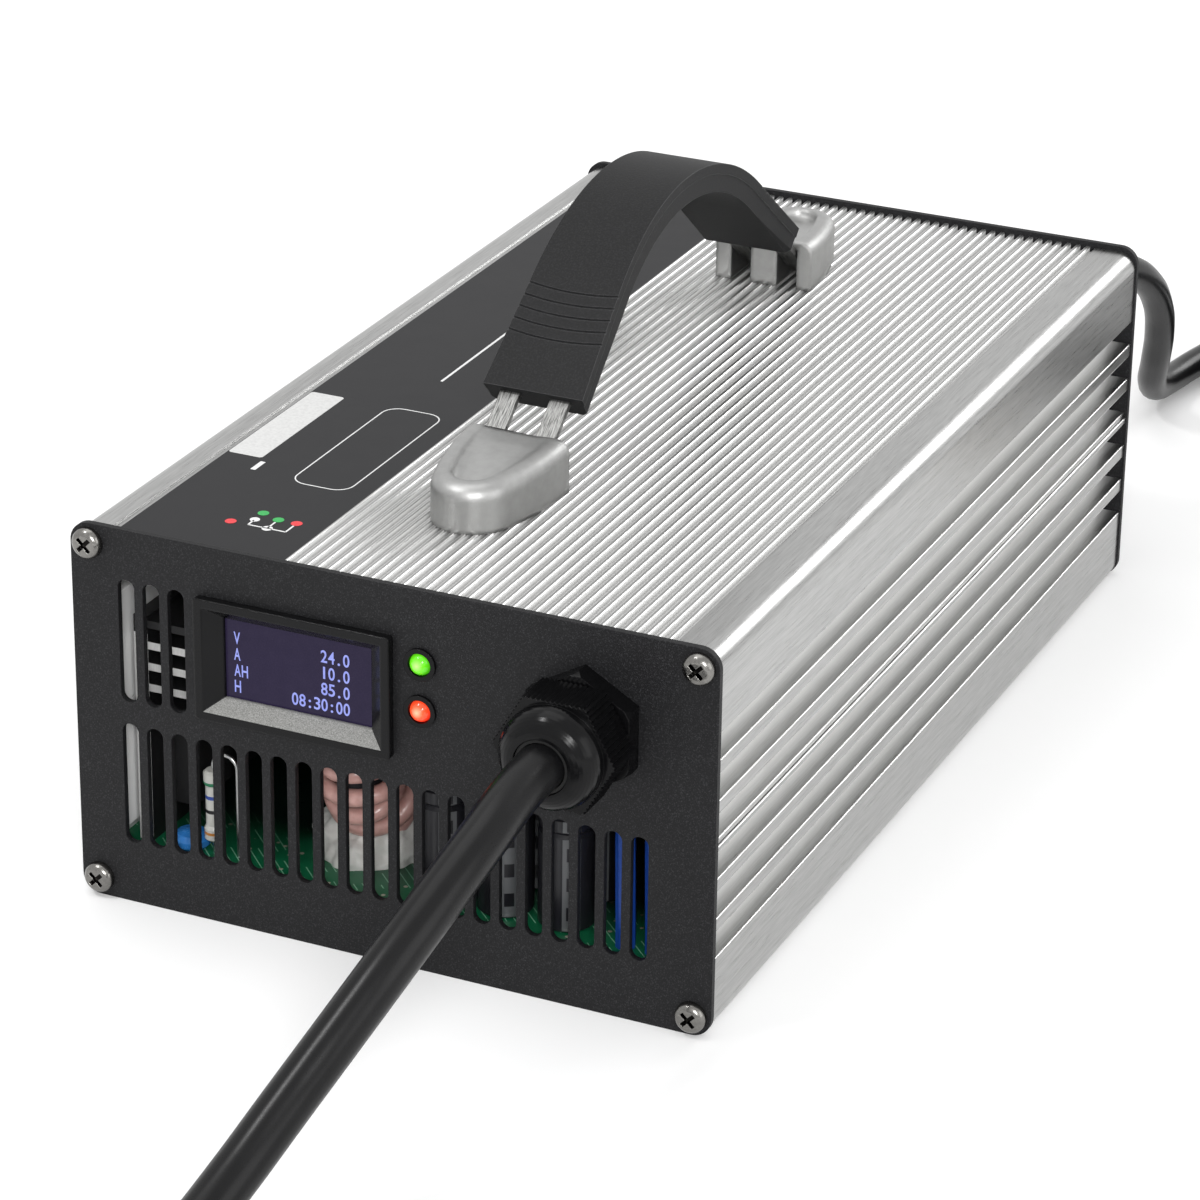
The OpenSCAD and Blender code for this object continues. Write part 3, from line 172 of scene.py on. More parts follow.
class Finish(Recipe):
    """One material: a Principled shader and what feeds it. Lengths are in metres."""

    def __init__(self, name, **constants):
        self.material = bpy.data.materials.new(name)
        self.material.use_nodes = True
        super().__init__(self.material.node_tree)
        self.shader = self.tree.nodes["Principled BSDF"]
        self.shade(**constants)

    def shade(self, **sockets):
        for name, value in sockets.items():
            self.feed(self.shader.inputs[name.replace("_", " ")], value)

    def place(self, cell):
        """The point on the surface, counted in cells of the given size."""
        where = self.node("ShaderNodeTexCoord", output="Object")
        scale = [1 / size for size in cell]
        return self.node("ShaderNodeMapping", {"Vector": where, "Scale": scale})

    def noise(self, cell, detail=2.0, roughness=0.5):
        """Cloudy noise; a cell that is long in one direction gives streaks along it."""
        if not isinstance(cell, tuple):
            cell = (cell, cell, cell)
        settings = {"Vector": self.place(cell), "Scale": 1.0, "Detail": detail, "Roughness": roughness}
        return self.node("ShaderNodeTexNoise", settings)

    def axis(self, index, start=0.0, size=1.0):
        """One coordinate of the surface point, as a number that is 0 at start and 1 at start + size."""
        where = self.node("ShaderNodeTexCoord", output="Object")
        part = self.node("ShaderNodeSeparateXYZ", {0: where}, output=index)
        return (part - start) * (1 / size)

    def facing(self, index):
        """How far the surface faces along one axis, from -1 to 1."""
        normal = self.node("ShaderNodeTexCoord", output="Normal")
        return self.node("ShaderNodeSeparateXYZ", {0: normal}, output=index)

    def step(self, value, low, high):
        """A soft step from 0 at low to 1 at high."""
        settings = {"Value": value, "From Min": low, "From Max": high}
        return self.node("ShaderNodeMapRange", settings, interpolation_type="SMOOTHSTEP")

    def mix(self, share, first, second):
        """The first colour where the share is 0, and the second where it is 1."""
        return self.node("ShaderNodeMix", {0: share, 6: first, 7: second}, output=2, data_type="RGBA")

    def ramp(self, value, *stops, hard=False):
        """Colours at places from 0 to 1, which blend unless the ramp is hard."""
        made = self.node("ShaderNodeValToRGB", {0: value}, stops=stops)
        if hard:
            made.socket.node.color_ramp.interpolation = "CONSTANT"
        return made

    def rounded(self, radius):
        """The normal that the surface would have if its edges were rounded."""
        return self.node("ShaderNodeBevel", {"Radius": radius}, samples=BEVEL_SAMPLES)

    def flat(self):
        """The true normal of the surface."""
        return self.node("ShaderNodeNewGeometry", output="Normal")

    def edges(self, radius):
        """Where the surface is near an edge: 1 at the edge, 0 on the open faces."""
        pair = {0: self.rounded(radius), 1: self.flat()}
        agree = self.node("ShaderNodeVectorMath", pair, output="Value", operation="DOT_PRODUCT")
        return 1 - self.step(agree, *EDGE_AGREEMENT)

    def relief(self, height, depth, edge=0.0, sharp=None):
        """A surface raised by up to depth where height is 1.

        With an edge radius its edges look rounded, but not where sharp is 1.
        """
        settings = {"Height": height, "Distance": depth}
        if edge:
            normal = self.rounded(edge)
            if sharp:
                pair = {0: sharp, 4: normal, 5: self.flat()}
                normal = self.node("ShaderNodeMix", pair, output=1, data_type="VECTOR")
            settings["Normal"] = normal
        return self.node("ShaderNodeBump", settings)


print("a finish has:", ", ".join(name for name in vars(Finish) if not name.startswith("_")))


# %% Colours, and finishes on pieces
def paint(red, green, blue):
    """A colour as a picture editor gives it, from 0 to 255, in the linear numbers of a shader."""
    shares = [channel / 255 for channel in (red, green, blue)]
    linear = [s / 12.92 if s <= 0.04045 else ((s + 0.055) / 1.055) ** 2.4 for s in shares]
    return (*linear, 1.0)


def dress(finish, *names):
    """Gives a finish to pieces of the frame."""
    for name in names:
        piece = nodes[name]
        for place in piece.material_slots:
            place.material = finish.material
    print(finish.material.name, "on", len(names), "pieces")


print("mid grey is", round(paint(128, 128, 128)[0], 3), "in linear light")

# %% [markdown]
# ## Stage
# Product pictures of such chargers have a white ground and soft light from all sides. A curved paper
# backdrop would show its own bend, so a wide white floor is used: it is lit from above until it is just
# white, and it keeps the soft shadow of the charger. The sky is white where the camera or a mirror sees it,
# and dimmer as a lamp, so that the large lamps model the shapes.

# %% Floor
FLOOR_SIZE = 12
FLOOR_DROP = 0.1 * MM
FLOOR_COLOR = (0.94, 0.94, 0.94, 1)
bpy.ops.object.select_all(action="DESELECT")
bpy.ops.mesh.primitive_plane_add(size=FLOOR_SIZE, location=(0, 0, -FLOOR_DROP))
floor = bpy.context.object
floor.name = "floor"
floor_white = Finish("floor_white", Base_Color=FLOOR_COLOR, Roughness=0.9, Specular_IOR_Level=0.0)
floor.data.materials.append(floor_white.material)
print("floor is", FLOOR_SIZE, "m wide")

# %% Sky
SKY_AS_LAMP = 0.68
SKY_AS_SEEN = 1.0
world = bpy.data.worlds.new("studio")
bpy.context.scene.world = world
world.use_nodes = True
sky = Recipe(world.node_tree)
seen = sky.node("ShaderNodeLightPath", output="Is Camera Ray")
for ray in ("Is Glossy Ray", "Is Transmission Ray"):
    seen = seen | sky.node("ShaderNodeLightPath", output=ray)
backdrop = world.node_tree.nodes["Background"]
sky.feed(backdrop.inputs["Color"], (1, 1, 1, 1))
sky.feed(backdrop.inputs["Strength"], SKY_AS_LAMP + seen * (SKY_AS_SEEN - SKY_AS_LAMP))
print("sky is", SKY_AS_SEEN, "as seen and", SKY_AS_LAMP, "as a lamp")

# %% Lamps
LAMP_AIM = Vector((0, 0, 0.05))


def soft_box(name, place, size, watts):
    """A square lamp that faces the middle of the charger."""
    bpy.ops.object.select_all(action="DESELECT")
    bpy.ops.object.light_add(type="AREA", location=place)
    lamp = bpy.context.object
    lamp.name = name
    lamp.data.size = size
    lamp.data.energy = watts
    aim = LAMP_AIM - Vector(place)
    lamp.rotation_euler = aim.to_track_quat("-Z", "Y").to_euler()
    print(name, "is", round(aim.length, 2), "m away")


soft_box("lamp_above", (-0.3, 0.1, 1.5), size=1.0, watts=4)
soft_box("lamp_key", (-0.62, -0.7, 1.37), size=0.22, watts=6)
soft_box("lamp_edge", (0.75, 1.85, 0.95), size=0.8, watts=11)
soft_box("lamp_right", (1.5, -0.3, 0.6), size=1.0, watts=5)
soft_box("lamp_front", (0.62, -1.3, 0.72), size=0.4, watts=13)
bpy.context.scene.view_settings.view_transform = "Standard"

# %% [markdown]
# ## Cables
# The charger has two cables: a thick one to the battery, and a thinner mains lead behind. The picture shows
# only their first part, so the rest is wound into a flat coil of two layers just outside the view, with a
# strap round it. A bent cylinder would pinch where it turns, so each cable is one smooth curve with a round
# section, which keeps its thickness on any route. The route is a short list of points between the gland and
# the coil; the turns of the coil come from a loop.

# %% Routes of the two cables, in millimetres
DC_DIAMETER = 10.4
DC_LENGTH = 1.008
dc_route = [
    (45.5, -150, 66), (45.5, -157, 66), (45.5, -167, 64.9), (45.3, -178, 62.2), (43.7, -192, 56.8),
    (40.7, -206, 49.1), (36.1, -220, 38.9), (30.9, -234, 27.8), (26.7, -248, 18.2), (23.7, -262, 11.4),
    (22, -276, 7.8), (21.4, -290, 6.6), (21.4, -302, 6.5), (21.4, -314, 6.5),
]
dc_coil_middle = (86.9, -314)
dc_tail = [(129.54, -314, 20), (129.54, -304, 20)]

AC_DIAMETER = 8.0
AC_LENGTH = 1.095
ac_route = [
    (54, 150, 68), (54, 157, 68), (55.2, 167, 67.4), (57.6, 178, 64.6), (59.6, 189, 58.2),
    (59.8, 200, 48.2), (57.8, 210, 36.4), (54.2, 220, 24), (50.6, 230, 14.2), (48.6, 241, 8),
    (48.8, 254, 5.7), (50.6, 267, 5.3), (52.9, 278, 5.3), (54.5, 289, 5.3),
]
ac_coil_middle = (104.9, 289)
ac_tail = [(148.5, 289, 13.3), (148.4, 273, 13.3), (147, 257, 12.8), (145.6, 246, 12.4), (145.6, 241, 12.4)]
print("points between gland and coil:", len(dc_route), len(ac_route))

# %% Wind the coils
LOWER_TURNS = 2.0
STEPS_PER_TURN = 24
COIL_FLOOR = 1.3
COIL_RADIUS = 6.3


def coil_turns(middle, diameter, direction, pitch, climb_turns, upper_turns, rise):
    """A lower layer that winds inwards, a climb, and an upper layer that winds out.

    The pitch is in diameters, the rise in millimetres.
    """
    all_turns = LOWER_TURNS + climb_turns + upper_turns
    points = []
    for step in range(1, int(all_turns * STEPS_PER_TURN)):
        turn = step / STEPS_PER_TURN
        climb = min(max((turn - LOWER_TURNS) / climb_turns, 0), 1)
        outward = max(turn - LOWER_TURNS - climb_turns, 0)
        radius = diameter * (COIL_RADIUS - pitch * min(turn, LOWER_TURNS) + pitch * outward)
        angle = math.pi + direction * 2 * math.pi * turn
        height = COIL_FLOOR + diameter / 2 + rise * climb * climb * (3 - 2 * climb)
        points.append((middle[0] + radius * math.cos(angle), middle[1] + radius * math.sin(angle), height))
    return points


dc_coil = coil_turns(
    dc_coil_middle, DC_DIAMETER, direction=1, pitch=1.1, climb_turns=0.5, upper_turns=0, rise=13.5,
)
ac_coil = coil_turns(
    ac_coil_middle, AC_DIAMETER, direction=-1, pitch=1.06, climb_turns=0.3, upper_turns=1.2,
    rise=AC_DIAMETER,
)
print("points in the coils:", len(dc_coil), len(ac_coil))

# %% Draw the curves
SECTION_STEPS = 6
CURVE_STEPS = 6


def draw_cable(name, points, diameter):
    """One open curve through the points, with a round section."""
    line = bpy.data.curves.new(name, "CURVE")
    line.dimensions = "3D"
    line.bevel_depth = 1.0
    line.bevel_resolution = SECTION_STEPS
    line.resolution_u = CURVE_STEPS
    line.use_fill_caps = True
    spline = line.splines.new("BEZIER")
    spline.bezier_points.add(len(points) - 1)
    for knot, point in zip(spline.bezier_points, points):
        knot.co = Vector(point) * MM
        knot.radius = diameter / 2 * MM
        knot.handle_left_type = "AUTO"
        knot.handle_right_type = "AUTO"
    cable = bpy.data.objects.new(name, line)
    bpy.context.collection.objects.link(cable)
    return cable


dc_points = dc_route + dc_coil + dc_tail
ac_points = ac_route + ac_coil + ac_tail
output_cable = draw_cable("output_cable", dc_points, DC_DIAMETER)
mains_cable = draw_cable("mains_cable", ac_points, AC_DIAMETER)
dc_end_pieces = ("dc_tie", "dc_connector", "dc_contacts")
ac_end_pieces = ("ac_tie", "ac_plug", "ac_plug_pins")
for cable, route, length, diameter, side, end, pieces in (
    (output_cable, dc_route, DC_LENGTH, DC_DIAMETER, "dc", "connector", dc_end_pieces),
    (mains_cable, ac_route, AC_LENGTH, AC_DIAMETER, "ac", "plug", ac_end_pieces),
):
    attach(cable, BODY)
    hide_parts(side + "_cable", side + "_coil", side + "_tail")
print("cable points:", len(dc_points), len(ac_points))

# %% [markdown]
# ## Case
# The two halves of the case are aluminium extrusions with a clear anodised, brushed skin. A picture of
# brushed metal could be wrapped round them, but it would repeat, and the faces would have to be unwrapped.
# Brushing leaves fine streaks along the length, so the metal is tinted and roughened by noise that is
# stretched along Y. Masks from the place of a point tell the parts apart. The grooves of the sides and the
# flanks between the ribs of the top are painted pale and made less metallic: painted light that lifts them
# out of their shade. The crests of the ribs carry painted highlights at their edges, and the edges of the
# fins a painted white highlight. A Bevel node finds the edges, because the normal of a rounded edge differs
# from the true one only near an edge. The end plates are steel with a fine black texture coat, which is a
# grainy bump with a few paler grains, and their screws are nickel plated, with painted shade in the recess.

# %% Where the ribs and the grooves are
GROOVE_DEPTH = 6.5 * MM
GROOVE_LIP = 0.3 * MM
SIDE_DROP = 8 * MM
RIB_PITCH = 2.5 * MM
RIB_MARGIN = 7.9 * MM
RIB_DEPTH = 1.3 * MM
RIB_CREST = 0.3 * MM
FIN_EDGE = 0.5 * MM
# Shares of the rib pitch: what the last rib lacks, and half of the grey line on a crest.
LAST_RIB_GAP = 0.14
CREST_LINE = 0.1
shell_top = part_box("upper_shell")[1]
ribs_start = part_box("label_film")[1].x
rib_count = int((shell_top.x - RIB_MARGIN - ribs_start) / RIB_PITCH)
ribs_end = ribs_start + (rib_count - LAST_RIB_GAP) * RIB_PITCH
print("ribs on the top:", rib_count)

# %% Brushed aluminium
aluminium = Finish("brushed_aluminium")
broad = aluminium.noise((0.9 * MM, 90 * MM, 0.9 * MM), 3)
fine = aluminium.noise((0.25 * MM, 7 * MM, 0.25 * MM), 2)
brushing = broad * 0.4 + fine * 0.6
streaks = aluminium.step(brushing, 0.3, 0.7)
on_side = aluminium.axis(2) < shell_top.z - SIDE_DROP
on_ribs = (1 - on_side) * (aluminium.axis(0) > ribs_start) * (aluminium.axis(0) < ribs_end)
from_middle = abs(aluminium.axis(0))
outermost = aluminium.step(from_middle, shell_top.x - GROOVE_DEPTH, shell_top.x - GROOVE_LIP)
in_groove = on_side * (1 - outermost)
between_ribs = on_ribs * (aluminium.axis(2) < shell_top.z - RIB_CREST)
across_rib = (aluminium.axis(0, ribs_start, RIB_PITCH) + 0.5).fraction()
from_crest = abs(across_rib - 0.5)
# Painted highlight: the edges of the fins are painted white, as if they catch the light.
edge_highlight = aluminium.edges(FIN_EDGE) * on_side
brushed = aluminium.mix(streaks, paint(154, 154, 153), paint(178, 178, 177))
# Painted highlight: the crest of a rib is painted pale at its edges, with a grey line between.
crest_highlight = aluminium.mix(from_crest < CREST_LINE, paint(220, 220, 219), paint(164, 164, 163))
# Painted light: the flanks between the ribs are painted pale, brighter towards the top where more light falls
# in.
up_the_flank = aluminium.step(aluminium.axis(2), shell_top.z - RIB_DEPTH, shell_top.z - RIB_CREST)
painted_lit_flank = aluminium.mix(up_the_flank, paint(196, 196, 195), paint(242, 242, 241))
ribbed = aluminium.mix(between_ribs, crest_highlight, painted_lit_flank)
# Painted light: the grooves of the sides are painted near white, to lift them out of their shade.
metal = aluminium.mix(in_groove, aluminium.mix(on_ribs, brushed, ribbed), paint(240, 240, 239))
aluminium.shade(
    Base_Color=aluminium.mix(edge_highlight, metal, paint(255, 255, 254)),
    Metallic=1 - between_ribs * 0.85 - in_groove * 0.9,
    Roughness=0.22 + brushing * 0.14 + on_ribs * 0.1 + between_ribs * 0.2 + in_groove * 0.24,
    Normal=aluminium.relief(brushing * (1 - on_ribs), 0.016 * MM, FIN_EDGE, sharp=on_ribs),
)
dress(aluminium, "upper_shell", "lower_shell")

# %% Black texture coat
coat = Finish("black_texture_coat", Specular_IOR_Level=0.25)
grain = coat.noise(0.28 * MM, 2, 0.6)
coat.shade(
    Base_Color=coat.mix(coat.step(grain, 0.5, 0.75), paint(13, 13, 15), paint(48, 48, 50)),
    Roughness=0.5 + grain * 0.2,
    Normal=coat.relief(grain, 0.05 * MM, 0.3 * MM),
)
dress(coat, "front_plate", "back_plate")

# %% Nickel plated screws
HEAD_RADIUS = 3.5 * MM
RECESS_RADIUS = 2.2 * MM
RECESS_START = 0.5 * MM


def plated(name, piece=None):
    """Nickel plate, with painted shade in the recess of a plate screw where a piece is named."""
    finish = Finish(name, Metallic=1.0)
    scuff = finish.noise(0.5 * MM, 4, 0.7)
    metal = finish.mix(scuff, paint(98, 97, 95), paint(146, 144, 140))
    if piece:
        low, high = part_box(piece)
        middle = (low + high) / 2
        outside = -1 if middle.y < 0 else 1
        head = low.y if middle.y < 0 else high.y
        across = abs(finish.axis(0)) - (high.x - HEAD_RADIUS)
        upward = abs(finish.axis(2, middle.z)) - (high.z - middle.z - HEAD_RADIUS)
        deep = finish.axis(1, head, -outside) > RECESS_START
        # Painted shade: the cross recess is painted dark, where light hardly reaches.
        recess_shade = deep * ((across * across + upward * upward) < RECESS_RADIUS ** 2)
        metal = finish.mix(recess_shade, metal, paint(26, 25, 24))
    finish.shade(
        Base_Color=metal,
        Roughness=0.14 + scuff * 0.16,
        Normal=finish.relief(scuff, 0.015 * MM, 0.25 * MM),
    )
    return finish


dress(plated("front_screw_nickel", "front_plate_screws"), "front_plate_screws")
dress(plated("back_screw_nickel", "back_plate_screws"), "back_plate_screws")
dress(plated("nickel_plate"), "handle_cap_screws", "fan_screws", "fan_nuts")

# %% [markdown]
# ## Label
# A black satin film lies in the recess of the top. Its print is made of plain shapes: a blank white
# sticker, an empty frame with round corners, a rule, and coloured dots on a line. The film's material could
# paint them by formula, but thin pieces stay sharp from near and are easier to move. Each starts as a flat
# face, gets round corners from a vertex bevel or is inset to a frame, and is raised by a few hundredths of
# a millimetre, as ink is.

# %% Film
film = Finish("black_film", Specular_IOR_Level=0.12)
sheen = film.noise(6 * MM, 3)
film.shade(
    Base_Color=film.mix(sheen, paint(24, 24, 26), paint(31, 31, 33)),
    Roughness=0.36 + sheen * 0.08,
    Normal=film.relief(film.noise(0.4 * MM, 2), 0.004 * MM),
)
dress(film, "label_film")

# %% Flat shapes of ink
INK_HEIGHT = 0.04 * MM
CORNER_STEPS = 6
DOT_SIDES = 32
film_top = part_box("label_film")[1].z


def settle(piece, name, finish):
    """Moves a piece's place into its mesh, and gives it its name, its finish and its body."""
    bpy.ops.object.select_all(action="DESELECT")
    piece.select_set(True)
    bpy.context.view_layer.objects.active = piece
    bpy.ops.object.transform_apply(location=True, rotation=True, scale=True)
    piece.name = name
    piece.data.name = name
    piece.data.materials.clear()
    piece.data.materials.append(finish.material)
    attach(piece, BODY)
    print(name, "has", len(piece.data.polygons), "faces")


def raise_faces(height):
    """Gives the flat faces in edit mode a height, and leaves edit mode."""
    bpy.ops.mesh.select_all(action="SELECT")
    bpy.ops.mesh.extrude_region_move(TRANSFORM_OT_translate={"value": (0, 0, height)})
    bpy.ops.mesh.select_all(action="SELECT")
    bpy.ops.mesh.normals_make_consistent(inside=False)
    bpy.ops.object.mode_set(mode="OBJECT")


def printed_field(x_range, y_range, corner=0.0, line=0.0):
    """A flat field of ink, in millimetres on the film: full, or only a frame as wide as the line."""
    middle = ((x_range[0] + x_range[1]) / 2 * MM, (y_range[0] + y_range[1]) / 2 * MM, film_top)
    bpy.ops.object.select_all(action="DESELECT")
    bpy.ops.mesh.primitive_plane_add(size=1, location=middle)
    field = bpy.context.object
    field.scale = ((x_range[1] - x_range[0]) * MM, (y_range[1] - y_range[0]) * MM, 1)
    bpy.ops.object.transform_apply(location=False, rotation=False, scale=True)
    bpy.ops.object.mode_set(mode="EDIT")
    bpy.ops.mesh.select_all(action="SELECT")
    if corner:
        bpy.ops.mesh.bevel(offset=corner * MM, segments=CORNER_STEPS, affect="VERTICES")
    if line:
        bpy.ops.mesh.select_all(action="SELECT")
        bpy.ops.mesh.inset(thickness=line * MM)
        bpy.ops.mesh.delete(type="FACE")
    raise_faces(INK_HEIGHT)
    return field


def printed_dot(x, y, radius):
    """A round spot of ink, in millimetres on the film."""
    bpy.ops.object.select_all(action="DESELECT")
    bpy.ops.mesh.primitive_circle_add(
        vertices=DOT_SIDES, radius=radius * MM, fill_type="NGON", location=(x * MM, y * MM, film_top)
    )
    dot = bpy.context.object
    bpy.ops.object.mode_set(mode="EDIT")
    raise_faces(INK_HEIGHT)
    return dot


def gather(pieces):
    """Joins pieces into the first of them."""
    bpy.ops.object.select_all(action="DESELECT")
    for piece in pieces:
        piece.select_set(True)
    bpy.context.view_layer.objects.active = pieces[0]
    bpy.ops.object.join()
    return pieces[0]


print("film is at", round(film_top / MM, 2), "mm, and ink is", round(INK_HEIGHT / MM, 3), "mm high")

# %% Inks
WORN_SHARE = 0.86


def ink(name, color):
    """Ink of one colour, a little darker in spots where it is worn."""
    finish = Finish(name, Roughness=0.45, Specular_IOR_Level=0.3)
    wear = finish.noise(0.7 * MM, 3)
    worn = [channel * WORN_SHARE for channel in color[:3]] + [1]
    finish.shade(Base_Color=finish.mix(finish.step(wear, 0.2, 0.7), worn, color))
    return finish


white_ink = ink("white_ink", paint(232, 232, 232))
red_ink = ink("red_ink", paint(226, 62, 68))
green_ink = ink("green_ink", paint(50, 168, 84))
paper = ink("sticker_paper", paint(208, 208, 207))
print("inks made:", len((white_ink, red_ink, green_ink, paper)))

# %% Print on the film
LEGEND_X = (-41.4, -36.8, -32.4)
LEGEND_Y = -114.5
HALF_LINE = 0.2
DOT_RADIUS = 1.25


def legend_stem(x, rise):
    """A thin line of the given length, up from the line of the legend."""
    return printed_field((x - HALF_LINE, x + HALF_LINE), (LEGEND_Y, LEGEND_Y + rise))


def legend_dot(x, rise):
    """A coloured dot, so far above the line of the legend."""
    return printed_dot(x, LEGEND_Y + rise, DOT_RADIUS)


empty_frame = printed_field((-45.0, -30.8), (-90.0, -41.6), corner=4.0, line=0.3)
rule = printed_field((-41.6, -41.0), (-22.8, 26.0))
tick = printed_field((-55.6, -54.4), (-87.6, -82.8))
legend_line = printed_field((LEGEND_X[0], LEGEND_X[2]), (LEGEND_Y - HALF_LINE, LEGEND_Y + HALF_LINE))
stems = [legend_stem(LEGEND_X[0], 2.6), legend_stem(LEGEND_X[2], 3.6), legend_stem(LEGEND_X[1], 3.6)]
knots = [printed_dot(LEGEND_X[0], LEGEND_Y + 3.0, 1.1), printed_dot(LEGEND_X[1], LEGEND_Y, 1.2)]
white_print = [empty_frame, rule, tick, legend_line, *stems, *knots]
settle(gather(white_print), "label_print_white", white_ink)
red_print = [legend_dot(LEGEND_X[2], 5.0), legend_dot(-45.6, 0)]
settle(gather(red_print), "label_print_red", red_ink)
green_print = [legend_dot(LEGEND_X[1], 5.0), legend_dot(LEGEND_X[0], 6.8)]
settle(gather(green_print), "label_print_green", green_ink)
sticker = printed_field((-64.8, -56.4), (-81.0, -41.6), corner=0.8)
settle(sticker, "label_sticker", paper)

# %% [markdown]
# ## Handle
# The handle is a pair of spring steel straps in a moulded grip, held by two cast caps. Its shape is all in
# the packed model, and only the skins are missing. Fine marks could be modelled too, but they would cost
# many faces and hardly show, so each skin is noise of the right size: a fine grain for the grip, with a
# painted highlight of paler grey along its edges, a little cloudiness from the mould for the zinc caps, and
# long scratches for the bare straps.

# %% Grip, caps and straps
grip = Finish("grained_plastic", Specular_IOR_Level=0.22)
pebble = grip.noise(0.4 * MM, 2, 0.6)
grained = grip.mix(grip.step(pebble, 0.4, 0.75), paint(16, 16, 17), paint(36, 36, 37))
grip.shade(
    # Painted highlight: the edges of the grip are painted paler grey.
    Base_Color=grip.mix(grip.edges(0.3 * MM), grained, paint(88, 88, 89)),
    Roughness=0.5 + pebble * 0.2,
    Normal=grip.relief(pebble, 0.06 * MM, 0.4 * MM),
)
dress(grip, "handle_grip")

zinc = Finish("satin_zinc", Metallic=1.0)
cloud = zinc.noise(2.2 * MM, 4, 0.6)
speck = zinc.noise(0.25 * MM, 2)
zinc.shade(
    Base_Color=zinc.mix(cloud, paint(152, 152, 151), paint(172, 172, 171)),
    Roughness=0.36 + speck * 0.12,
    Normal=zinc.relief(speck, 0.02 * MM, 1.6 * MM),
)
dress(zinc, "handle_cap_front", "handle_cap_back")

strap = Finish("bare_strap_steel", Metallic=1.0)
scratch = strap.noise((0.25 * MM, 3 * MM, 3 * MM), 4, 0.7)
strap.shade(
    Base_Color=strap.mix(strap.step(scratch, 0.3, 0.7), paint(70, 70, 69), paint(158, 158, 156)),
    Roughness=0.28 + scratch * 0.3,
    Normal=strap.relief(scratch, 0.03 * MM, 0.2 * MM),
)
dress(strap, "strap_left", "strap_right")

# %% [markdown]
# ## Display
# The display is a dark violet window in a black bezel. The up-facing lower slope has a rough skin, and is
# painted pale: painted light where the slope catches the light. The window glows by itself, so it has
# emission; a lamp behind it would only add noise. The figures are text that is turned to a mesh: plain
# numbers and the letters of their units. They are set one by one on a grid, because the characters of such a
# display all have the same width.

# %% Bezel and window
bezel = Finish("bezel_plastic", Specular_IOR_Level=0.16)
skin = bezel.noise(0.22 * MM, 2, 0.7)
bezel_low, bezel_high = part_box("display_bezel")
bezel_middle = (bezel_low + bezel_high) / 2
# Painted light: the up-facing faces of the lower half are painted pale, as if lit; their roughness and bump
# are real.
upward = bezel.step(bezel.facing(2), 0.3, 0.8) * (bezel.axis(2) < bezel_middle.z)
painted_lit_slope = bezel.mix(bezel.step(skin, 0.3, 0.7), paint(104, 104, 102), paint(160, 160, 157))
bezel.shade(
    Base_Color=bezel.mix(upward, bezel.mix(skin, paint(12, 12, 13), paint(20, 20, 21)), painted_lit_slope),
    Roughness=0.16 + upward * 0.4,
    Normal=bezel.relief(skin * upward, 0.06 * MM, 0.7 * MM),
)
dress(bezel, "display_bezel")

window = Finish("violet_window", Roughness=0.12, Specular_IOR_Level=0.1, Emission_Strength=1.0)
haze = window.noise(3 * MM, 3)
dust = window.step(window.noise(0.35 * MM, 2), 0.35, 0.75)
window.shade(
    Base_Color=paint(20, 16, 34),
    Emission_Color=window.mix(haze * 0.6 + dust * 0.4, paint(27, 23, 40), paint(44, 38, 56)),
)
dress(window, "display_glass")

# %% Figures on the window
CELL_W = 1.75
ROW_PITCH = 3.75
FIGURE_H = 2.9
FIGURE_W = 1.5
FIGURE_T = 0.03 * MM
FIRST_ROW = 5.5
LEFT_MARGIN = 1.7
RIGHT_MARGIN = 5.3
WINDOW_MARGIN = 1
# A capital's height, half the thickness, and how much bolder it gets, for text of size 1.
LETTER_H = 0.73
LETTER_HALF_T = 0.02
LETTER_BOLD = 0.012
ROWS = (("V", "24.0"), ("A", "10.0"), ("AH", "85.0"), ("H", "08:30:00"))
glass_low, glass_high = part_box("display_glass")
window_left = glass_low.x / MM + WINDOW_MARGIN
window_right = glass_high.x / MM - WINDOW_MARGIN
window_top = glass_high.z / MM - WINDOW_MARGIN
glass_front = glass_low.y


def figure(character, x, z):
    """One character on the window, with its left edge at x and its foot at z, in millimetres."""
    bpy.ops.object.select_all(action="DESELECT")
    bpy.ops.object.text_add()
    text = bpy.context.object
    text.data.body = character
    text.data.size = 1.0
    text.data.extrude = LETTER_HALF_T
    text.data.offset = LETTER_BOLD
    bpy.ops.object.convert(target="MESH")
    made = bpy.context.object
    edges = [vertex.co.x for vertex in made.data.vertices]
    left = min(edges)
    width = max(edges) - left
    tall = FIGURE_H / LETTER_H * MM
    stretch = min(FIGURE_W / width * MM, tall)
    made.scale = (stretch, tall, FIGURE_T / (2 * LETTER_HALF_T))
    made.rotation_euler = (math.pi / 2, 0, 0)
    centred = x * MM + (CELL_W * MM - width * stretch) / 2 - left * stretch
    made.location = (centred, glass_front - FIGURE_T, z * MM)
    return made


figures = []
for row, (unit, value) in enumerate(ROWS):
    foot = window_top - FIRST_ROW - row * ROW_PITCH
    for column, character in enumerate(unit):
        figures.append(figure(character, window_left + LEFT_MARGIN + column * CELL_W, foot))
    start = window_right - RIGHT_MARGIN - len(value) * CELL_W
    for column, character in enumerate(value):
        figures.append(figure(character, start + column * CELL_W, foot))
glow = Finish("figure_glow", Base_Color=(0, 0, 0, 1), Roughness=0.6, Emission_Strength=1.0)
flicker = glow.noise(0.8 * MM, 2)
glow.shade(Emission_Color=glow.mix(flicker, paint(128, 138, 236), paint(176, 186, 255)))
settle(gather(figures), "display_figures", glow)
print("figures on the display:", len(figures))

# %% [markdown]
# ## Status lamps
# A lit lamp is brightest at the middle of its dome, where the chip is, and takes its full colour towards
# the rim. A real light inside clear plastic would show that too, but slowly and with noise. A colour ramp
# over the distance from the lamp's axis gives both at once.

# %% Status lamps
CHIP_RISE = 0.1
RIM_START = 0.45
EDGE_START = 0.95


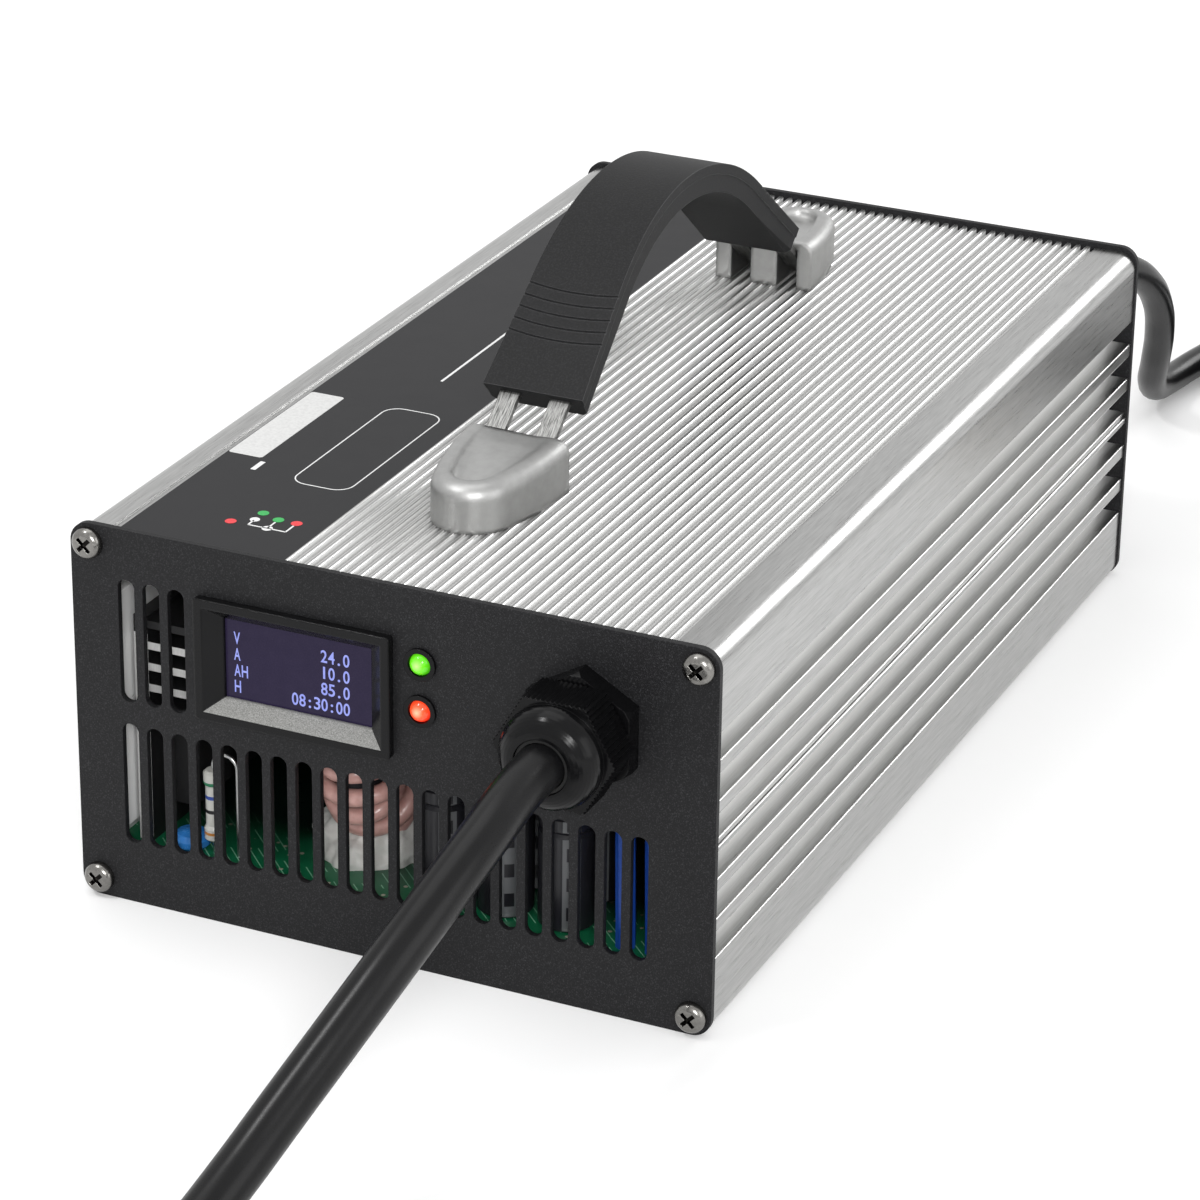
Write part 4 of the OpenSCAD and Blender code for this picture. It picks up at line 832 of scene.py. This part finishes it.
def lit_lamp(name, core, rim, edge):
    """A lens with a bright core, its own colour further out, and a dark edge."""
    low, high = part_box(name)
    middle = (low + high) / 2
    radius = (high.x - low.x) / 2
    finish = Finish(name + "_lens", Roughness=0.12, Emission_Strength=1.0)
    across = finish.axis(0, middle.x, radius)
    upward = finish.axis(2, middle.z + CHIP_RISE * radius, radius)
    away = (across * across + upward * upward) ** 0.5
    light = finish.ramp(away, (0.0, core), (RIM_START, rim), (EDGE_START, edge))
    finish.shade(Base_Color=edge, Emission_Color=light)
    dress(finish, name)


lit_lamp("lamp_green", paint(214, 255, 150), paint(120, 232, 30), paint(40, 130, 12))
lit_lamp("lamp_red", paint(255, 214, 170), paint(255, 104, 56), paint(190, 20, 10))

# %% [markdown]
# ## Glands, cables and what is on them
# The glands are glossy nylon, their seals are dull rubber, and the jackets are soft black plastic with a
# satin skin. One black for all would look dead. Black plastics differ more in gloss than in colour, so each
# has its own roughness and specular level. The straps round the coils are woven, so their bump is a row of
# fine waves with some fuzz.

# %% Nylon, rubber and jackets
nylon = Finish("glossy_nylon", Specular_IOR_Level=0.16)
flow = nylon.noise(1.5 * MM, 3)
nylon.shade(
    Base_Color=nylon.mix(flow, paint(6, 6, 7), paint(13, 13, 14)),
    Roughness=0.12 + flow * 0.12,
    Normal=nylon.relief(flow, 0.012 * MM, 0.2 * MM),
)
for side in ("dc", "ac"):
    dress(nylon, side + "_gland_body", side + "_gland_nut", side + "_gland_locknut")
dress(nylon, "lamp_holders")

rubber = Finish("seal_rubber", Specular_IOR_Level=0.3)
bloom = rubber.noise(0.6 * MM, 3)
rubber.shade(
    Base_Color=rubber.mix(bloom, paint(18, 18, 18), paint(34, 34, 34)),
    Roughness=0.65 + bloom * 0.15,
)
dress(rubber, "dc_gland_seal", "ac_gland_seal")

jacket = Finish("cable_jacket", Specular_IOR_Level=0.22)
ripple = jacket.noise(5 * MM, 2)
pore = jacket.noise(0.3 * MM, 2)
jacket.shade(
    Base_Color=jacket.mix(ripple, paint(9, 9, 10), paint(16, 16, 17)),
    Roughness=0.24 + pore * 0.1,
    Normal=jacket.relief(ripple * 0.7 + pore * 0.3, 0.02 * MM),
)
for cable in (output_cable, mains_cable):
    cable.data.materials.append(jacket.material)
dress(jacket, "ac_plug")

# %% Coil straps, connector and plug
WEAVE_CELL = (2 * MM, 2 * MM, 2 * MM)
woven = Finish("woven_strap", Roughness=0.85, Specular_IOR_Level=0.2)
warp = woven.node("ShaderNodeTexWave", {"Vector": woven.place(WEAVE_CELL), "Scale": 1.0}, output="Fac")
fuzz = woven.noise(0.3 * MM, 3)
thread = warp * 0.6 + fuzz * 0.4
woven.shade(
    Base_Color=woven.mix(thread, paint(24, 24, 26), paint(52, 52, 55)),
    Normal=woven.relief(thread, 0.15 * MM),
)
dress(woven, "dc_tie", "ac_tie")

shell = Finish("connector_shell", Specular_IOR_Level=0.4)
mould = shell.noise(0.5 * MM, 3)
shell.shade(
    Base_Color=shell.mix(mould, paint(96, 100, 104), paint(116, 120, 124)),
    Roughness=0.45 + mould * 0.15,
    Normal=shell.relief(mould, 0.03 * MM, 0.5 * MM),
)
dress(shell, "dc_connector")

tin = Finish("tinned_metal", Metallic=1.0)
smear = tin.noise((0.6 * MM, 3 * MM, 3 * MM), 3)
tin.shade(
    Base_Color=tin.mix(smear, paint(176, 178, 178), paint(214, 215, 214)),
    Roughness=0.22 + smear * 0.2,
)
dress(tin, "dc_contacts", "resistor_leads")

brass = Finish("plain_brass", Metallic=1.0)
rub = brass.noise((1 * MM, 6 * MM, 1 * MM), 3)
brass.shade(
    Base_Color=brass.mix(rub, paint(186, 158, 96), paint(222, 198, 140)),
    Roughness=0.2 + rub * 0.2,
    Normal=brass.relief(rub, 0.01 * MM, 0.3 * MM),
)
dress(brass, "ac_plug_pins")

# %% [markdown]
# ## Fan
# Behind the back plate's opening turns a moulded fan, with a guard of plated wire in front of it. The guard
# hides most of the fan, so the blades need no dust or wear, only the soft gloss of moulded plastic.

# %% Fan and guard
blade = Finish("fan_plastic", Specular_IOR_Level=0.4)
swirl = blade.noise(1.2 * MM, 3)
blade.shade(
    Base_Color=blade.mix(swirl, paint(20, 20, 21), paint(32, 32, 33)),
    Roughness=0.42 + swirl * 0.14,
    Normal=blade.relief(swirl, 0.02 * MM, 0.3 * MM),
)
dress(blade, "fan_frame", "fan_rotor")

wire = Finish("plated_wire", Metallic=1.0)
dull = wire.noise(1 * MM, 3)
wire.shade(
    Base_Color=wire.mix(dull, paint(172, 172, 172), paint(212, 212, 211)),
    Roughness=0.16 + dull * 0.16,
)
dress(wire, "fan_guard")

# %% [markdown]
# ## Power board
# The slots show the front of the power board: a green board with tracks, a black comb heat sink with bright
# sawn ends, a banded resistor, a choke wound with rose-coloured wire in white glue, black capacitors and
# two thick blue leads. Tracks could be strips of mesh, but so little of the board shows that masks in its
# material do: slanted stripes give the tracks, and the cells of a Voronoi texture give the pads. Further
# in, the board is painted dark: painted shade, where the case and the parts on it keep the light out.

# %% Board
TRACK_PITCH = 2.6 * MM
TRACK_SHARE = 0.14
PAD_CELL = (4 * MM, 4 * MM, 4 * MM)
LIT_DEPTH = 26 * MM
board = Finish("green_board", Specular_IOR_Level=0.5)
spots = board.node("ShaderNodeTexVoronoi", {"Vector": board.place(PAD_CELL), "Scale": 1.0}, output="Distance")
pads = 1 - board.step(spots, 0.1, 0.16)
across_track = ((board.axis(0) + board.axis(1)) * (1 / TRACK_PITCH)).fraction()
tracks = (across_track < TRACK_SHARE) * (board.noise(7 * MM, 1) > 0.5)
board_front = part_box("main_board")[0].y
# Painted shade: the board is painted nearly black further from its front edge.
painted_shade_further_in = board.step(board.axis(1, board_front, LIT_DEPTH), 0.2, 1.0)
green = board.mix(tracks, paint(20, 104, 68), paint(128, 190, 156))
board.shade(
    Base_Color=board.mix(painted_shade_further_in, board.mix(pads, green, paint(206, 202, 184)), paint(8, 22, 16)),
    Metallic=pads * 0.5,
    Roughness=0.3 + pads * 0.1,
    Normal=board.relief(tracks | pads, 0.05 * MM),
)
dress(board, "main_board", "display_board")

# %% Heat sinks and power devices
PAINTED_TOP = 4 * MM
sink = Finish("black_heat_sink")
sink_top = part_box("heat_sink_left")[1].z
sawn = sink.step(0 - sink.facing(1), 0.8, 0.95) * (sink.axis(2) < sink_top - PAINTED_TOP)
teeth = sink.noise((0.2 * MM, 1 * MM, 3 * MM), 3, 0.7)
bare = sink.mix(teeth, paint(172, 172, 171), paint(232, 232, 230))
sink.shade(
    Base_Color=sink.mix(sawn, paint(34, 34, 35), bare),
    Metallic=0.3 - sawn * 0.1,
    Roughness=0.42 - sawn * 0.1,
    Normal=sink.relief(teeth * sawn, 0.05 * MM),
)
dress(sink, "heat_sink_left", "heat_sink_right")

epoxy = Finish("moulded_epoxy", Specular_IOR_Level=0.4)
mark = epoxy.noise(0.5 * MM, 3)
epoxy.shade(
    Base_Color=epoxy.mix(mark, paint(26, 26, 27), paint(44, 44, 45)),
    Roughness=0.5 + mark * 0.15,
    Normal=epoxy.relief(mark, 0.03 * MM, 0.3 * MM),
)
dress(epoxy, "power_transistors", "relay")

# %% Cores, and the winding of the choke
ferrite = Finish("ferrite", Specular_IOR_Level=0.4)
sinter = ferrite.noise(0.3 * MM, 3, 0.7)
ferrite.shade(
    Base_Color=ferrite.mix(sinter, paint(34, 34, 36), paint(62, 62, 65)),
    Roughness=0.55 + sinter * 0.2,
    Normal=ferrite.relief(sinter, 0.05 * MM, 0.4 * MM),
)
dress(ferrite, "choke_core", "transformer_core")

enamel = Finish("rose_enamel", Specular_IOR_Level=0.5, Coat_Weight=0.3)
drawn = enamel.noise(1.4 * MM, 3)
enamel.shade(
    Base_Color=enamel.mix(drawn, paint(190, 138, 130), paint(222, 180, 172)),
    Roughness=0.26 + drawn * 0.14,
)
dress(enamel, "choke_winding")

# %% [markdown]
# ## Mound of glue
# The choke sits in white silicone that was pressed on from a tube and set in soft lumps. It could be
# sculpted by hand, but a few values do as well and can be changed later: a sphere is stretched, a cloud
# texture swells it by a Displace modifier, and a bisect cuts it off flat at the board. The lumpy mound
# takes the place of the plain one in the packed model.

# %% Mound of glue
MOUND_SIZE = Vector((15.5, 22, 12)) * MM
MOUND_SHIFT = -2 * MM
MOUND_DETAIL = 6
LUMP_SIZE = 7 * MM
LUMP_HEIGHT = 5 * MM
SMOOTH_ANGLE = math.radians(60)
glue_low, glue_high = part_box("choke_glue")
glue_middle = (glue_low + glue_high) / 2
mound_foot = (glue_middle.x + MOUND_SHIFT, glue_middle.y, glue_low.z)
bpy.ops.object.select_all(action="DESELECT")
bpy.ops.mesh.primitive_ico_sphere_add(subdivisions=MOUND_DETAIL, radius=1.0, location=mound_foot)
mound = bpy.context.object
mound.scale = MOUND_SIZE
bpy.ops.object.transform_apply(location=True, rotation=False, scale=True)
lumps = bpy.data.textures.new("glue_lumps", "CLOUDS")
lumps.noise_scale = LUMP_SIZE
swell = mound.modifiers.new("swell", "DISPLACE")
swell.texture = lumps
swell.strength = LUMP_HEIGHT
bpy.ops.object.modifier_apply(modifier="swell")
bpy.ops.object.mode_set(mode="EDIT")
bpy.ops.mesh.select_all(action="SELECT")
bpy.ops.mesh.bisect(plane_co=mound_foot, plane_no=(0, 0, -1), use_fill=True, clear_outer=True)
bpy.ops.object.mode_set(mode="OBJECT")
bpy.ops.object.shade_smooth_by_angle(angle=SMOOTH_ANGLE)
print("mound is", [round(size / MM, 1) for size in mound.dimensions], "mm")

# %% Silicone on the mound
glue = Finish("white_silicone", Specular_IOR_Level=0.4)
lump = glue.noise(3 * MM, 4, 0.6)
glue.shade(
    Base_Color=glue.mix(lump, paint(214, 213, 208), paint(240, 239, 235)),
    Roughness=0.3 + lump * 0.2,
    Normal=glue.relief(lump, 0.3 * MM),
)
settle(mound, "choke_glue_mound", glue)
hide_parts("choke_glue")

# %% [markdown]
# ## Sleeves, tape and small parts
# A capacitor wears a black sleeve of shrunk film, with a grey stripe and dashes on one side, and its lid is
# bare metal. A picture could carry the stripe, but the direction that a point faces already tells how far
# round the can it is, so a threshold on it gives the stripe and another gives the dashes. The bands of the
# resistor come from a hard colour ramp in the same spirit.

# %% Capacitor sleeves
STRIPE_TURN = Vector((0.55, -0.84, 0)).normalized()
STRIPE_EDGE = 0.95
DASH_EDGE = 0.985
DASH_PITCH = 7 * MM
DASH_SHARE = 0.45
sleeve = Finish("capacitor_sleeve", Specular_IOR_Level=0.5)
lid = sleeve.step(sleeve.facing(2), 0.9, 0.98)
shrink = sleeve.noise((1 * MM, 1 * MM, 5 * MM), 3)
turned = sleeve.facing(0) * STRIPE_TURN.x + sleeve.facing(1) * STRIPE_TURN.y
up_the_dash = sleeve.axis(2, 0, DASH_PITCH).fraction()
dash = (turned > DASH_EDGE) * (up_the_dash < DASH_SHARE)
stripe = (turned > STRIPE_EDGE) * (1 - dash)
black = sleeve.mix(shrink, paint(20, 20, 24), paint(36, 36, 41))
wrap = sleeve.mix(stripe, black, paint(100, 102, 104))
sleeve.shade(
    Base_Color=sleeve.mix(lid, wrap, paint(200, 200, 200)),
    Metallic=lid,
    Roughness=0.26 + shrink * 0.12,
    Normal=sleeve.relief(shrink, 0.05 * MM),
)
dress(sleeve, "output_capacitors", "input_capacitors")

# %% Tape of the transformer
tape = Finish("yellow_tape", Specular_IOR_Level=0.5, Coat_Weight=0.2)
lap = tape.noise((6 * MM, 6 * MM, 0.8 * MM), 2)
tape.shade(
    Base_Color=tape.mix(lap, paint(196, 150, 40), paint(226, 184, 74)),
    Roughness=0.26 + lap * 0.12,
    Normal=tape.relief(lap, 0.05 * MM),
)
dress(tape, "transformer_winding")

# %% Resistor, disc and output leads
resistor_low, resistor_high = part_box("shunt_resistor")
banded = Finish("banded_resistor", Roughness=0.3, Specular_IOR_Level=0.5)
along = banded.axis(2, resistor_low.z, resistor_high.z - resistor_low.z)
body = paint(206, 206, 200)
bands = banded.ramp(
    along, (0.0, body), (0.1, paint(196, 132, 70)), (0.14, body), (0.4, paint(34, 34, 36)), (0.45, body),
    (0.6, paint(44, 74, 160)), (0.65, body), (0.8, paint(40, 128, 88)), (0.85, body),
    hard=True,
)
banded.shade(Base_Color=bands, Normal=banded.relief(banded.noise(0.5 * MM, 2), 0.02 * MM))
dress(banded, "shunt_resistor")

dipped = Finish("blue_dip", Specular_IOR_Level=0.5)
drip = dipped.noise(1.5 * MM, 3)
dipped.shade(
    Base_Color=dipped.mix(drip, paint(36, 110, 190), paint(64, 142, 216)),
    Roughness=0.2 + drip * 0.12,
    Normal=dipped.relief(drip, 0.1 * MM),
)
dress(dipped, "disc_capacitor")

lead = Finish("blue_insulation", Specular_IOR_Level=0.5)
matt = lead.noise(1 * MM, 3)
lead.shade(
    Base_Color=lead.mix(matt, paint(20, 62, 150), paint(34, 84, 180)),
    Roughness=0.32 + matt * 0.12,
    Normal=lead.relief(matt, 0.02 * MM),
)
dress(lead, "output_wires")

# %% [markdown] ## End The view layer is brought up to date.
# The dressed charger has to stay inside the box of the CAD model.

# %% The end
bpy.context.view_layer.update()
